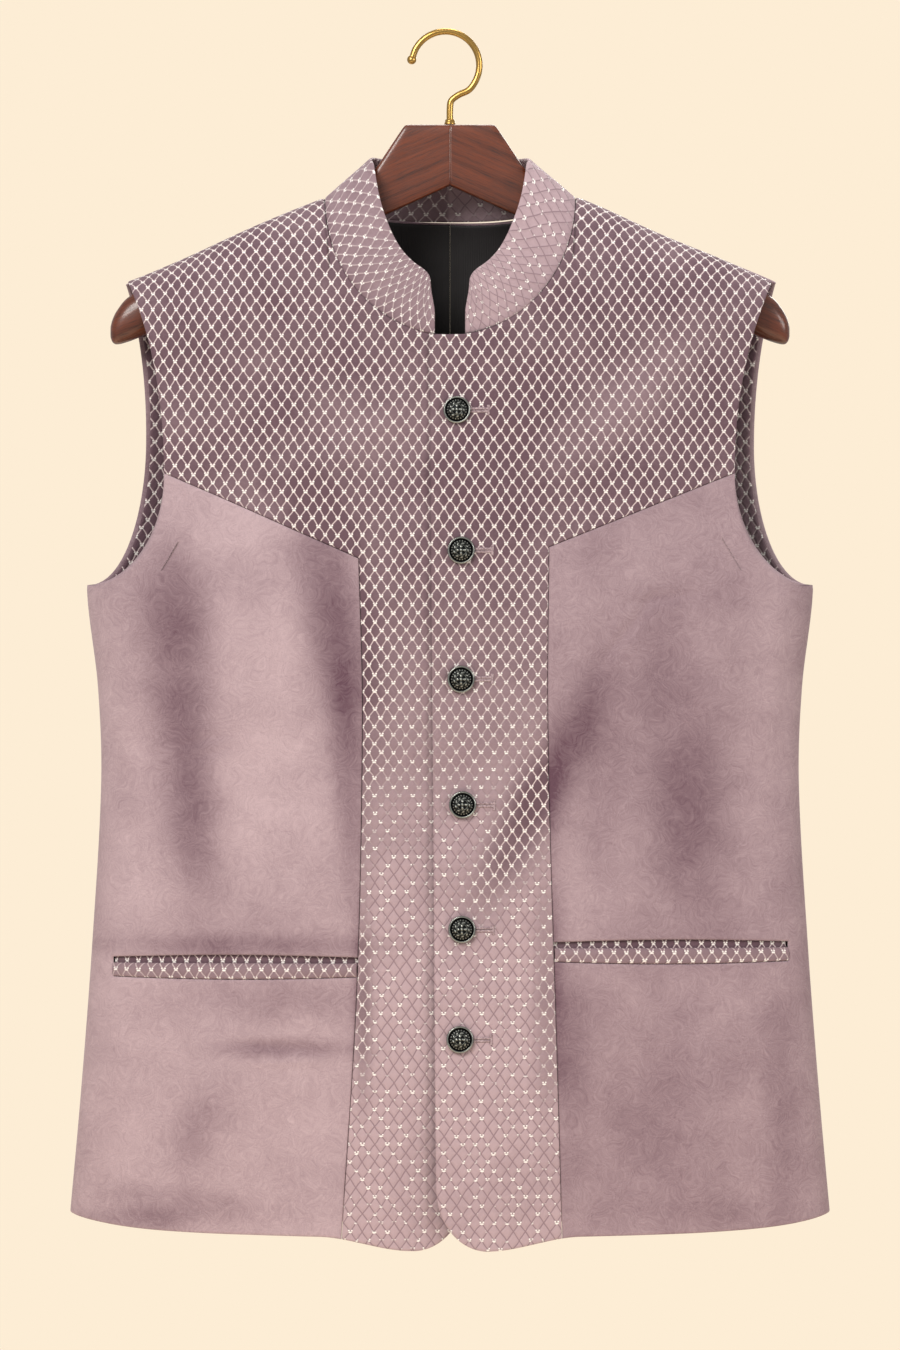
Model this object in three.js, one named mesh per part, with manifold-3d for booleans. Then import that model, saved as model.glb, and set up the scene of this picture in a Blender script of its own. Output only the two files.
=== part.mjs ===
// A sleeveless band-collared jacket in plain and diamond-figured velvet, buttoned and hung on a
// wooden hanger. Units are millimetres. +Z is up, +X is to the right as the front is seen, and +Y
// is to the back. The origin is where a rail bears inside the crown of the hook.
//
// The jacket is one hollow form. Each level of it is a flattened ring, and over the shoulders the
// ring closes in an arch. A piece is a patch of that form, given in two coordinates: turn, which
// runs from 0 at the centre line to 1 at the side seam, and height z. Its wall lies between two
// levels, counted inwards from the jacket's outer face.
import * as THREE from "three";
import { mergeVertices } from "three/addons/utils/BufferGeometryUtils.js";
import Module from "manifold-3d";

const wasm = await Module();
wasm.setup();

// ---- driving sizes ---------------------------------------------------------------------------
const CLOTH = 2; // velvet with its interlining
const LINING = 1;
const LINING_LEVEL = 3.2; // the lining hangs free of the velvet
const SEAM_GAP = 0.3;
const RING_POWER = 2.4; // 2 is an ellipse, and more is squarer
const ARCH_POWER = 2.2;

// The form's levels: half its width, and its depth before and behind the side seams.
const RINGS = [
  { z: -60, half: 231, front: 45, back: 41 },
  { z: -166, half: 235, front: 46, back: 42 },
  { z: -260, half: 238, front: 50, back: 43 },
  { z: -363, half: 240, front: 52, back: 44 },
  { z: -430, half: 232.5, front: 50, back: 42 },
  { z: -492, half: 230.3, front: 47, back: 40 },
  { z: -600, half: 236.2, front: 48, back: 41 },
  { z: -700, half: 243.8, front: 50, back: 43 },
  { z: -800, half: 252.8, front: 52, back: 45 },
];
const SHOULDER = { neckX: 83, neckZ: -107.7, slope: 0.4187, tipX: 215.5 };
const ROLL = { atNeck: 95, atTip: 28 }; // height of the arch over the shoulder
const NECK = { frontDrop: 92, backDrop: 14 };
const UNDERARM_Z = -363;
// The armhole edge: its narrowest point, and how far it flares out from there to the shoulder tip.
const ARMHOLE = {
  front: { narrowX: 187.4, narrowZ: -289.9, tipX: 213.5 },
  back: { narrowX: 202.5, narrowZ: -270, tipX: 215.5 },
};
const ARMHOLE_FLARE_POWER = 2.1;
const HEM = { front: -791, sideRise: 7, cornerRise: 8, dip: 8.5, dipFrom: 86, dipTo: 26, back: -786 };
const HEM_CORNER_POWER = 10;
// The front edge lies this far past the centre line, and its hem corner is rounded. The two fronts
// are mirrored about a line this far to the wearer's left.
const LAP = { edgeTop: 13.5, edgeBottom: 9, cornerWide: 34, cornerHigh: 41, centreTop: 6.6, centreBottom: 0.6 };
// How the two fronts part where they lap: the lift of the upper one and the sinking of the lower.
const LAP_LIFT = { top: 1.6, hem: 4.2, from: 52, to: 16 };
const LAP_SINK = { top: 1.2, hem: 4.5, from: -34, to: 2 };

// The sewn line between figured and plain velvet on each front, as distances from the centre line.
const PANEL_SEAMS = {
  right: [
    { z: -346, x: 60.2 },
    { z: -450, x: 57.4 },
    { z: -620, x: 61 },
    { z: -790, x: 71.2 },
  ],
  left: [
    { z: -338.6, x: 65.2 },
    { z: -450, x: 64.2 },
    { z: -620, x: 68.8 },
    { z: -790, x: 73.8 },
  ],
};
const POCKETS = {
  right: { top: -607.5, bottom: -620.5, outerX: 222 },
  left: { top: -597.5, bottom: -610.5, outerX: 223 },
};
const WELT_SHARE = 0.7; // of the pocket's opening, the rest is the slit
const POCKET_BOW = 1.6; // how far the pocket's long edges bow apart
const POCKET_FACING_REACH = 7;
const FACING_WIDTH = 18;

const BUTTONS = [
  { x: 4.6, z: -249 },
  { x: 7.2, z: -340.8 },
  { x: 7.2, z: -425 },
  { x: 8.4, z: -507.4 },
  { x: 7.8, z: -589 },
  { x: 6.5, z: -661 },
];
// Half of a button's section, from its shank to the crown of the dome.
const BUTTON_PROFILE = [
  { radius: 0, rise: 0.3 },
  { radius: 2.4, rise: 0.3 },
  { radius: 2.4, rise: 1.4 },
  { radius: 8.3, rise: 1.6 },
  { radius: 8.95, rise: 2.2 },
  { radius: 8.95, rise: 2.9 },
  { radius: 8.1, rise: 3.3 },
  { radius: 7.2, rise: 3.1 },
  { radius: 5.0, rise: 4.8 },
  { radius: 2.5, rise: 5.6 },
  { radius: 0, rise: 5.8 },
];
const BUTTON_SIDES = 16;

// The band's front corners are rounded: this far along it, and this far down from its edge.
const COLLAR = { height: 40, cornerLong: 50, cornerHigh: 27, halfLength: 240, thick: 3, endX: 9.9 };
// Which way the collar stands: shares towards the neck, to the back and up.
const COLLAR_STANCE = [
  { round: 0, inward: 0, backward: 0.06, up: 1 },
  { round: 0.095, inward: 0.42, backward: 0.05, up: 0.9 },
  { round: 0.17, inward: 0.62, backward: 0.05, up: 0.78 },
  { round: 0.28, inward: 0.8, backward: 0.05, up: 0.6 },
  { round: 0.38, inward: 0.88, backward: 0.05, up: 0.47 },
  { round: 0.49, inward: 0.84, backward: 0.04, up: 0.53 },
  { round: 0.6, inward: 0.79, backward: 0, up: 0.61 },
  { round: 0.8, inward: 0.42, backward: -0.16, up: 0.88 },
  { round: 1, inward: 0, backward: -0.2, up: 0.98 },
];
const COLLAR_SIDE = 0.6; // the share of the half collar that is in front of the shoulder

// Sections of one hanger arm: its edges, its thickness and how square the section is.
const HANGER = [
  { x: 0.15, top: -59.4, bottom: -99.7, thick: 16, square: 7 },
  { x: 15, top: -59.4, bottom: -106.4, thick: 16, square: 7 },
  { x: 29.7, top: -59.4, bottom: -113, thick: 16, square: 6 },
  { x: 38, top: -71.8, bottom: -116.8, thick: 16.5, square: 5 },
  { x: 47, top: -85.3, bottom: -121, thick: 17, square: 4 },
  { x: 60, top: -102.5, bottom: -127, thick: 17.5, square: 3.2 },
  { x: 84, top: -118.5, bottom: -140.3, thick: 18.5, square: 2.6 },
  { x: 130, top: -137.7, bottom: -163.6, thick: 20, square: 2.4 },
  { x: 180, top: -158.6, bottom: -188, thick: 21, square: 2.3 },
  { x: 205, top: -169, bottom: -199.6, thick: 21, square: 2.3 },
  { x: 214, top: -174.5, bottom: -203, thick: 19.5, square: 2.3 },
  { x: 220.5, top: -183, bottom: -204.2, thick: 16, square: 2.3 },
  { x: 224, top: -191.5, bottom: -199.5, thick: 8, square: 2.2 },
];
const HANGER_SIDES = 16;

const HOOK = { wire: 2.2, radius: 22.4, centreX: -3, ball: 3.1 };
const HOOK_SIDES = 10;
const HOOK_STEPS = 34;
const FERRULE = { radius: 3.6, height: 3.4 };

// ---- small helpers ---------------------------------------------------------------------------
const clamp = (v, low, high) => Math.min(high, Math.max(low, v));
const mix = (a, b, share) => a + (b - a) * share;
const smooth = (v) => clamp(v, 0, 1) ** 2 * (3 - 2 * clamp(v, 0, 1));

// A smooth curve through a table's rows: the value of column at the place `at` of column `key`.
function tableAt(rows, key, column, at) {
  const last = rows.length - 1;
  const falling = rows[0][key] > rows[last][key];
  const past = (i) => (falling ? rows[i][key] >= at : rows[i][key] <= at);
  let i = 0;
  while (i < last - 1 && past(i + 1)) i += 1;
  const slope = (j) => {
    const a = rows[Math.max(0, j - 1)];
    const b = rows[Math.min(last, j + 1)];
    return (b[column] - a[column]) / (b[key] - a[key]);
  };
  const [a, b] = [rows[i], rows[i + 1]];
  const span = b[key] - a[key];
  const s = clamp((at - a[key]) / span, 0, 1);
  return (
    a[column] * (1 + 2 * s) * (1 - s) ** 2 +
    slope(i) * span * s * (1 - s) ** 2 +
    b[column] * s * s * (3 - 2 * s) -
    slope(i + 1) * span * s * s * (1 - s)
  );
}

// ---- the form --------------------------------------------------------------------------------
const halfWidth = (z) => tableAt(RINGS, "z", "half", z);
const ridgeZ = (x) => SHOULDER.neckZ - (Math.abs(x) - SHOULDER.neckX) * SHOULDER.slope;
const turnOf = (x, z) => Math.asin(clamp(x / halfWidth(z), -1, 1)) / (Math.PI / 2);

function rollAt(x) {
  const out = (Math.abs(x) - SHOULDER.neckX) / (SHOULDER.tipX - SHOULDER.neckX);
  return mix(ROLL.atNeck, ROLL.atTip, clamp(out, 0, 1));
}

// The point of the form at a turn and height, `level` inside the outer face.
function formPoint(face, turn, z, level) {
  const swing = Math.sin((turn * Math.PI) / 2);
  const half = halfWidth(z);
  const x = half * swing;
  const below = clamp((ridgeZ(x) - z) / rollAt(x), 0, 1);
  const arch = (1 - (1 - below) ** ARCH_POWER) ** (1 / ARCH_POWER);
  const round = (1 - Math.abs(swing) ** RING_POWER) ** (1 / RING_POWER);
  const y = (tableAt(RINGS, "z", face, z) - level) * round * arch + SEAM_GAP / 2;
  return new THREE.Vector3((half - level) * swing, face === "front" ? -y : y, z - level * (1 - below));
}

// The armhole edge from the underarm (0) to its narrowest point (1), then to the shoulder tip (2).
function armholeAt(face, place) {
  const { narrowX, narrowZ, tipX } = ARMHOLE[face];
  const sideX = halfWidth(UNDERARM_Z);
  if (place <= 1) {
    const angle = (place * Math.PI) / 2;
    return [sideX - (sideX - narrowX) * Math.sin(angle), narrowZ - (narrowZ - UNDERARM_Z) * Math.cos(angle)];
  }
  const up = place - 1;
  return [mix(narrowX, tipX, up ** ARMHOLE_FLARE_POWER), mix(narrowZ, ridgeZ(tipX), up)];
}

// The neckline from the centre line (0) to the shoulder (1).
function necklineAt(face, share) {
  const angle = (share * Math.PI) / 2;
  const x = SHOULDER.neckX * Math.sin(angle);
  if (face === "front") return [x, SHOULDER.neckZ - NECK.frontDrop * Math.cos(angle)];
  return [x, SHOULDER.neckZ - NECK.backDrop * (1 - Math.sin(angle) ** 3)];
}

// The places where a neckline's columns and the collar's both start, so that they meet all along.
const COLLAR_END = Math.asin(COLLAR.endX / SHOULDER.neckX) / (Math.PI / 2);
const FRONT_NECK = Array.from({ length: 11 }, (_, i) => (i / 10) ** 1.3); // from its end to the shoulder
const BACK_NECK = Array.from({ length: 6 }, (_, i) => i / 5);

function hemZ(face, x) {
  const out = Math.abs(x) / halfWidth(HEM.front);
  const side = HEM.sideRise * out ** 2 + HEM.cornerRise * out ** HEM_CORNER_POWER;
  if (face === "back") return HEM.back + (side * (HEM.front + HEM.sideRise + HEM.cornerRise - HEM.back)) /
    (HEM.sideRise + HEM.cornerRise);
  return HEM.front + side - HEM.dip * smooth((HEM.dipFrom - Math.abs(x)) / (HEM.dipFrom - HEM.dipTo));
}

const lapEdgeX = (z) => -mix(LAP.edgeTop, LAP.edgeBottom, clamp((z - frontNeckZ) / (HEM.front - frontNeckZ), 0, 1));
const frontNeckZ = SHOULDER.neckZ - NECK.frontDrop;

// ---- patches ---------------------------------------------------------------------------------
// A path through points [x, z], read by its share of length.
function path(points) {
  const at = [0];
  for (let i = 1; i < points.length; i += 1)
    at.push(at[i - 1] + Math.hypot(points[i][0] - points[i - 1][0], points[i][1] - points[i - 1][1]));
  return (share) => {
    const goal = share * at[at.length - 1];
    let i = 1;
    while (i < points.length - 1 && at[i] < goal) i += 1;
    const s = (goal - at[i - 1]) / (at[i] - at[i - 1]);
    return [mix(points[i - 1][0], points[i][0], s), mix(points[i - 1][1], points[i][1], s)];
  };
}
const FINE = 24;
const even = (count) => Array.from({ length: count + 1 }, (_, i) => i / count);
const crowded = (count, power) => even(count).map((s) => 1 - (1 - s) ** power); // closer at the end
const along = (read, from, to, steps = FINE) =>
  Array.from({ length: steps + 1 }, (_, i) => read(mix(from, to, i / steps)));

// A sheet of four-sided cells in turn and height, made of blocks that share their edges.
class Sheet {
  constructor() {
    this.points = [];
    this.cells = [];
    this.index = new Map();
  }

  at(turn, z) {
    const key = `${turn.toFixed(5)} ${z.toFixed(3)}`;
    if (!this.index.has(key)) {
      this.index.set(key, this.points.length);
      this.points.push([turn, z]);
    }
    return this.index.get(key);
  }

  // Fills the block between four edges, each a path in x and z. South and north run outwards, and
  // west and east run upwards. `across` and `up` are the shares of the edges where its lines start.
  block(south, east, north, west, across, up) {
    const flat = ([x, z]) => [turnOf(x, z), z];
    const [s, e, n, w] = [south, east, north, west].map((edge) => (share) => flat(edge(share)));
    const rows = [];
    for (const v of up) {
      const row = [];
      for (const u of across) {
        const [a, b] = [0, 1].map(
          (k) =>
            mix(s(u)[k], n(u)[k], v) +
            mix(w(v)[k], e(v)[k], u) -
            mix(mix(s(0)[k], s(1)[k], u), mix(n(0)[k], n(1)[k], u), v),
        );
        row.push(this.at(a, b));
      }
      rows.push(row);
    }
    for (let j = 0; j < up.length - 1; j += 1)
      for (let i = 0; i < across.length - 1; i += 1)
        this.cells.push([rows[j][i], rows[j][i + 1], rows[j + 1][i + 1], rows[j + 1][i]]);
    return this;
  }

  // The closed wall of this sheet between two levels. `place` turns a point and level into space,
  // and `flip` keeps the faces pointing out on a mirrored or a back piece.
  wall(outer, inner, place, flip) {
    const position = [];
    for (const level of [outer, inner])
      for (const [turn, z] of this.points) position.push(...place(turn, z, level).toArray());
    const count = this.points.length;
    const edges = new Map();
    const faces = [];
    const quad = (a, b, c, d) => faces.push(...(flip ? [a, c, b, a, d, c] : [a, b, c, a, c, d]));
    for (const [a, b, c, d] of this.cells) {
      quad(a, b, c, d);
      quad(a + count, d + count, c + count, b + count);
      for (const [p, q] of [[a, b], [b, c], [c, d], [d, a]])
        if (edges.has(`${q} ${p}`)) edges.delete(`${q} ${p}`);
        else edges.set(`${p} ${q}`, [p, q]);
    }
    for (const [p, q] of edges.values()) quad(p, p + count, q + count, q);
    const made = new THREE.BufferGeometry();
    made.setAttribute("position", new THREE.Float32BufferAttribute(position, 3));
    made.setIndex(faces);
    made.computeVertexNormals();
    return made;
  }
}

// Where a piece of one face and hand lies. The right hand is the wearer's, at negative X.
function placer(face, hand, lift = () => 0) {
  return (turn, z, level) => {
    const p = formPoint(face, turn, z, level);
    p.y -= lift(p.x, z);
    p.x *= hand;
    return p;
  };
}
const turned = (face, hand) => (face === "front") !== (hand > 0);

// ---- materials -------------------------------------------------------------------------------
const finish = (color, roughness, metalness = 0) =>
  new THREE.MeshStandardMaterial({ color, roughness, metalness });
const FIGURED = () => finish(0x8f747f, 0.75);
const PLAIN = () => finish(0xa88f9a, 0.8);
const SATIN = () => finish(0x1d1b1d, 0.4);
const WOOD = () => finish(0x5a2a17, 0.35);
const BRASS = () => finish(0xb08a45, 0.28, 1);
const PEWTER = () => finish(0x5b5e58, 0.35, 1);

const jacket = new THREE.Group();
function add(name, geometry, material) {
  const mesh = new THREE.Mesh(geometry, material);
  mesh.name = name;
  jacket.add(mesh);
  return mesh;
}

// ---- fronts ----------------------------------------------------------------------------------
const HANDS = { right: -1, left: 1 };
const growth = (z) => clamp((z - frontNeckZ) / (HEM.front - frontNeckZ), 0, 1);
const LAPS = {
  left: (x, z) => mix(LAP_LIFT.top, LAP_LIFT.hem, growth(z) ** 2) *
    smooth((LAP_LIFT.from - x) / (LAP_LIFT.from - LAP_LIFT.to)),
  right: (x, z) => -mix(LAP_SINK.top, LAP_SINK.hem, growth(z) ** 2) *
    smooth((-x - LAP_SINK.from) / (LAP_SINK.to - LAP_SINK.from)),
};

// The front edge and hem corner of a front, in its own hand: x is positive towards the side.
function frontEdge(side) {
  const edgeX = (z) =>
    lapEdgeX(z) - (side === "left" ? 0 : 2 * mix(LAP.centreTop, LAP.centreBottom, growth(z) ** 3));
  const hem = hemZ("front", 0);
  const centre = [edgeX(HEM.front) + LAP.cornerWide, hem + LAP.cornerHigh];
  const arc = (from, to) =>
    along(
      (a) => [centre[0] - LAP.cornerWide * Math.cos(a), centre[1] - LAP.cornerHigh * Math.sin(a)],
      from,
      to,
      10,
    );
  const turn = Math.PI * 0.27; // where the edge's path ends and the hem's starts
  const neckZ = PANEL_SEAMS[side][0].z;
  return {
    up: path([...arc(turn, 0), ...along((z) => [edgeX(z), z], centre[1] + 1, neckZ, 4)]),
    out: arc(turn, Math.PI / 2),
    edgeX,
  };
}

// Rows below the pocket, from it to the underarm's level, and beside the armhole.
const PLAIN_ROWS = { low: [0, 0.08, 0.19, 0.55, 1], middle: even(4), high: even(7) };
const UNDERARM_LINE_Z = -405; // at the sewn edge, the line that leaves the underarm
const seamX = (side, z) => tableAt(PANEL_SEAMS[side], "z", "x", clamp(z, PANEL_SEAMS[side].at(-1).z, 0));

// The figured velvet: the front strip below the yoke's corner, and the yoke above it.
function figuredFront(side) {
  const hand = HANDS[side];
  const edge = frontEdge(side);
  const half = SEAM_GAP / 2;
  const cornerZ = PANEL_SEAMS[side][0].z;
  const seam = (z) => [seamX(side, z) - half, z];
  const hemX = seamX(side, HEM.front) - half;
  const hemStart = edge.out.at(-1)[0];
  const hem = path([...edge.out, ...along((x) => [x, hemZ("front", x)], hemStart + 4, hemX, 8)]);
  const corner = seam(cornerZ);
  const top = path([[edge.edgeX(cornerZ), cornerZ], corner]);
  const seamUp = (share) => seam(mix(hemZ("front", hemX), cornerZ, share));
  const end = armholeAt("front", 1);
  const yokeEnd = [end[0], end[1] + half];
  const neckStart = necklineAt("front", 0);
  const neckEdge = [edge.edgeX(neckStart[1]), neckStart[1]];
  const LAP_COLUMNS = 2;
  const columns = LAP_COLUMNS + FRONT_NECK.length - 1;
  const neckPoint = necklineAt("front", 1);
  const collarEnd = necklineAt("front", COLLAR_END);
  const neck = (share) => {
    const column = Math.round(share * columns);
    if (column > LAP_COLUMNS) return necklineAt("front", mix(COLLAR_END, 1, FRONT_NECK[column - LAP_COLUMNS]));
    return [mix(neckEdge[0], collarEnd[0], column / LAP_COLUMNS), mix(neckEdge[1], collarEnd[1], column / LAP_COLUMNS)];
  };
  const shoulder = path([neckPoint, [ARMHOLE.front.tipX, ridgeZ(ARMHOLE.front.tipX)]]);
  const rise = path([[corner[0], corner[1]], neckPoint]);
  const yokeRows = crowded(8, 1.7);
  const shareAt = (z) => (z - hemZ("front", hemX)) / (cornerZ - hemZ("front", hemX));
  const { bottom, top: pocketTop } = POCKETS[side];
  const stripRows = [
    ...PLAIN_ROWS.low.map((s) => s * shareAt(bottom)),
    ...PLAIN_ROWS.middle.map((s) => mix(shareAt(pocketTop), shareAt(UNDERARM_LINE_Z), s)),
    ...PLAIN_ROWS.high.slice(1).map((s) => mix(shareAt(UNDERARM_LINE_Z), 1, s)),
  ];
  const sheet = new Sheet()
    .block(hem, seamUp, top, edge.up, even(columns), stripRows)
    .block(top, rise, neck, path([[edge.edgeX(cornerZ), cornerZ], neckEdge]), even(columns), yokeRows)
    .block(
      path([corner, yokeEnd]),
      path(along((s) => armholeAt("front", s), 1, 2).map(([x, z], i) => (i ? [x, z] : yokeEnd))),
      shoulder,
      rise,
      even(7),
      yokeRows,
    );
  const wall = sheet.wall(0, CLOTH, placer("front", hand, LAPS[side]), turned("front", hand));
  add(`${side}_front_figured`, wall, FIGURED());
}

const pocketLine = (side, which, x) => {
  const { outerX } = POCKETS[side];
  const span = (x - seamX(side, POCKETS[side][which])) / (outerX - seamX(side, POCKETS[side][which]));
  const bow = POCKET_BOW * Math.sin(Math.PI * clamp(span, 0, 1));
  return [x, POCKETS[side][which] + (which === "top" ? bow : -bow)];
};

// The plain velvet, with a notch at its sewn edge where the pocket is.
function plainFront(side) {
  const hand = HANDS[side];
  const half = SEAM_GAP / 2;
  const pocket = POCKETS[side];
  const seam = (z) => [seamX(side, z) + half, z];
  const sideSeam = (z) => [halfWidth(z), z];
  const corner = seam(PANEL_SEAMS[side][0].z);
  const end = armholeAt("front", 1);
  const yoke = path([[corner[0], corner[1] - half], [end[0], end[1] - half]]);
  const INNER_SHARE = 0.78; // of the lines above, over the pocket's outer end
  const hemLine = (from, to) => path(along((x) => [x, hemZ("front", x)], from, to));
  const hemInner = seamX(side, HEM.front) + half;
  const hemMiddle = pocket.outerX + 8;
  const hemSide = halfWidth(hemZ("front", halfWidth(HEM.front)));
  const line = (which, from, to) => path(along((x) => pocketLine(side, which, x), from, to));
  const inner = (which) => seamX(side, pocket[which]) + half;
  const rim = (which) => [halfWidth(pocket[which]), pocket[which]];
  const outer = (which) => path([pocketLine(side, which, pocket.outerX), rim(which)]);
  const mid = { bottom: [pocket.outerX, pocket.bottom], top: [pocket.outerX, pocket.top] };
  const hemMid = [hemMiddle, hemZ("front", hemMiddle)];
  const yokeMid = yoke(INNER_SHARE);
  const lineIn = seam(UNDERARM_LINE_Z);
  const lineOut = sideSeam(UNDERARM_Z);
  const line3 = (share) => [mix(lineIn[0], lineOut[0], share), mix(lineIn[1], lineOut[1], share)];
  const lineMid = line3(INNER_SHARE);
  const armhole = path(
    along((s) => armholeAt("front", s), 0, 1).map(([x, z], i) => (i < FINE ? [x, z] : [x, z - half])),
  );
  const [ACROSS_IN, ACROSS_OUT] = [8, 4].map(even);
  const sheet = new Sheet()
    .block(
      hemLine(hemInner, hemMiddle),
      path([hemMid, mid.bottom]),
      line("bottom", inner("bottom"), pocket.outerX),
      (share) => seam(mix(hemZ("front", hemInner), pocket.bottom, share)),
      ACROSS_IN,
      PLAIN_ROWS.low,
    )
    .block(
      hemLine(hemMiddle, hemSide),
      path(along((z) => sideSeam(z), hemZ("front", hemSide), pocket.bottom)),
      outer("bottom"),
      path([hemMid, mid.bottom]),
      ACROSS_OUT,
      PLAIN_ROWS.low,
    )
    .block(outer("bottom"), path([rim("bottom"), rim("top")]), outer("top"), path([mid.bottom, mid.top]), ACROSS_OUT, even(1))
    .block(
      line("top", inner("top"), pocket.outerX),
      path([mid.top, lineMid]),
      (share) => line3(share * INNER_SHARE),
      (share) => seam(mix(pocket.top, UNDERARM_LINE_Z, share)),
      ACROSS_IN,
      PLAIN_ROWS.middle,
    )
    .block(
      outer("top"),
      path(along((z) => sideSeam(z), pocket.top, UNDERARM_Z)),
      (share) => line3(mix(INNER_SHARE, 1, share)),
      path([mid.top, lineMid]),
      ACROSS_OUT,
      PLAIN_ROWS.middle,
    )
    .block(
      (share) => line3(share * INNER_SHARE),
      path([lineMid, yokeMid]),
      (share) => yoke(share * INNER_SHARE),
      (share) => (share === 1 ? yoke(0) : seam(mix(UNDERARM_LINE_Z, corner[1], share))),
      ACROSS_IN,
      PLAIN_ROWS.high,
    )
    .block(
      (share) => line3(mix(INNER_SHARE, 1, share)),
      armhole,
      (share) => yoke(mix(INNER_SHARE, 1, share)),
      path([lineMid, yokeMid]),
      ACROSS_OUT,
      PLAIN_ROWS.high,
    );
  const wall = sheet.wall(0, CLOTH, placer("front", hand, LAPS[side]), turned("front", hand));
  add(`${side}_front_plain`, wall, PLAIN());
}

// The welt fills the lower part of the pocket's notch, and the facing closes the slit from inside.
function pocketPieces(side) {
  const hand = HANDS[side];
  const pocket = POCKETS[side];
  const innerX = seamX(side, pocket.bottom) + SEAM_GAP;
  const outerX = pocket.outerX - SEAM_GAP;
  const lower = (x) => {
    const [, z] = pocketLine(side, "bottom", x);
    return [x, z + SEAM_GAP];
  };
  const upper = (x) => [x, mix(pocket.bottom, pocket.top, WELT_SHARE)];
  const strip = (low, high, from, to) =>
    new Sheet().block(
      path(along(low, from, to)),
      path([low(to), high(to)]),
      path(along(high, from, to)),
      path([low(from), high(from)]),
      even(8),
      even(1),
    );
  const place = placer("front", hand, LAPS[side]);
  const flip = turned("front", hand);
  add(`${side}_pocket_welt`, strip(lower, upper, innerX, outerX).wall(-0.4, CLOTH, place, flip), FIGURED());
  const reach = POCKET_FACING_REACH;
  const facing = strip(
    (x) => [x, pocket.bottom - reach],
    (x) => [x, pocket.top + reach],
    innerX - reach,
    outerX + 2,
  );
  add(`${side}_pocket_facing`, facing.wall(LINING_LEVEL, LINING_LEVEL + LINING, place, flip), FIGURED());
}

// ---- back ------------------------------------------------------------------------------------
// A line across the back, `width` in from the armhole's edge, from the side seam (0) to the
// shoulder (2).
function facingLine(place, width) {
  if (place === 2) return [ARMHOLE.back.tipX - width, ridgeZ(ARMHOLE.back.tipX - width)];
  const [x0, z0] = armholeAt("back", Math.max(0, place - 0.01));
  const [x1, z1] = armholeAt("back", Math.min(2, place + 0.01));
  const long = Math.hypot(x1 - x0, z1 - z0);
  const [x, z] = armholeAt("back", place);
  const moved = [x - (width * (z1 - z0)) / long, z + (width * (x1 - x0)) / long];
  return place === 0 ? [halfWidth(z - width), z - width] : [moved[0], Math.min(moved[1], ridgeZ(moved[0]))];
}

// The back, its lining and the armhole facing take their points from the same lines, so that one
// lies evenly inside the other.
const BACK_SPLIT = { hem: 0.4, rise: 0.62 }; // where the column below the neck's side runs
const BACK_ROWS = { low: even(6), high: [0, 0.06, 0.12, 0.19, 0.28, 0.4, 0.54, 0.68, 0.8, 0.89, 0.96, 1] };
const BACK_COLUMNS = { neck: even(BACK_NECK.length - 1), out: even(7), facing: even(2) };

function backSheet({ hemUp, facingWidth }) {
  const hemSide = halfWidth(hemZ("back", halfWidth(HEM.back)) + hemUp);
  const hemAt = (share) => {
    const x = mix(SEAM_GAP / 2, hemSide, share);
    return [x, hemZ("back", x) + hemUp];
  };
  const neckAt = (share) => {
    const [x, z] = necklineAt("back", share);
    return [Math.max(x, SEAM_GAP / 2), z];
  };
  const under = facingLine(0, facingWidth);
  const middleAt = (share) => {
    const [low, high] = [hemAt(BACK_SPLIT.hem), neckAt(1)];
    return [mix(low[0], high[0], share), mix(low[1], high[1], share)];
  };
  const middle = middleAt(BACK_SPLIT.rise);
  const centre = [SEAM_GAP / 2, middle[1]];
  const top = facingLine(2, facingWidth);
  return new Sheet()
    .block(
      path(along(hemAt, 0, BACK_SPLIT.hem)),
      path([middleAt(0), middle]),
      path([centre, middle]),
      path([hemAt(0), centre]),
      BACK_COLUMNS.neck,
      BACK_ROWS.low,
    )
    .block(
      path([centre, middle]),
      path([middle, middleAt(1)]),
      neckAt,
      path([centre, neckAt(0)]),
      BACK_COLUMNS.neck,
      BACK_ROWS.high,
    )
    .block(
      path(along(hemAt, BACK_SPLIT.hem, 1)),
      path(along((z) => [halfWidth(z), z], hemAt(1)[1], under[1])),
      path([middle, under]),
      path([middleAt(0), middle]),
      BACK_COLUMNS.out,
      BACK_ROWS.low,
    )
    .block(
      path([middle, under]),
      path(along((s) => facingLine(s, facingWidth), 0, 2)),
      path([neckAt(1), top]),
      path([middle, middleAt(1)]),
      BACK_COLUMNS.out,
      BACK_ROWS.high,
    );
}

function addFacing(sheet, inner, outer) {
  const line = (width) => along((s) => facingLine(s, width), 0, 2);
  const [inside, outside] = [line(inner), line(outer)];
  return sheet.block(
    path([inside[0], outside[0]]),
    path(outside),
    path([inside.at(-1), outside.at(-1)]),
    path(inside),
    BACK_COLUMNS.facing,
    BACK_ROWS.high,
  );
}

function backPieces(side) {
  const hand = HANDS[side];
  const place = placer("back", hand);
  const flip = turned("back", hand);
  const EDGE = 0.6; // the facing stops just inside the armhole's edge
  const HEM_UP = 16; // and the lining short of the hem
  const shell = addFacing(backSheet({ hemUp: 0, facingWidth: FACING_WIDTH }), FACING_WIDTH, 0);
  add(`${side}_back`, shell.wall(0, CLOTH, place, flip), PLAIN());
  const lining = backSheet({ hemUp: HEM_UP, facingWidth: FACING_WIDTH + SEAM_GAP });
  add(`${side}_back_lining`, lining.wall(LINING_LEVEL, LINING_LEVEL + LINING, place, flip), SATIN());
  const facing = addFacing(new Sheet(), FACING_WIDTH, EDGE);
  add(`${side}_armhole_facing`, facing.wall(LINING_LEVEL, LINING_LEVEL + LINING, place, flip), FIGURED());
}

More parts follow.
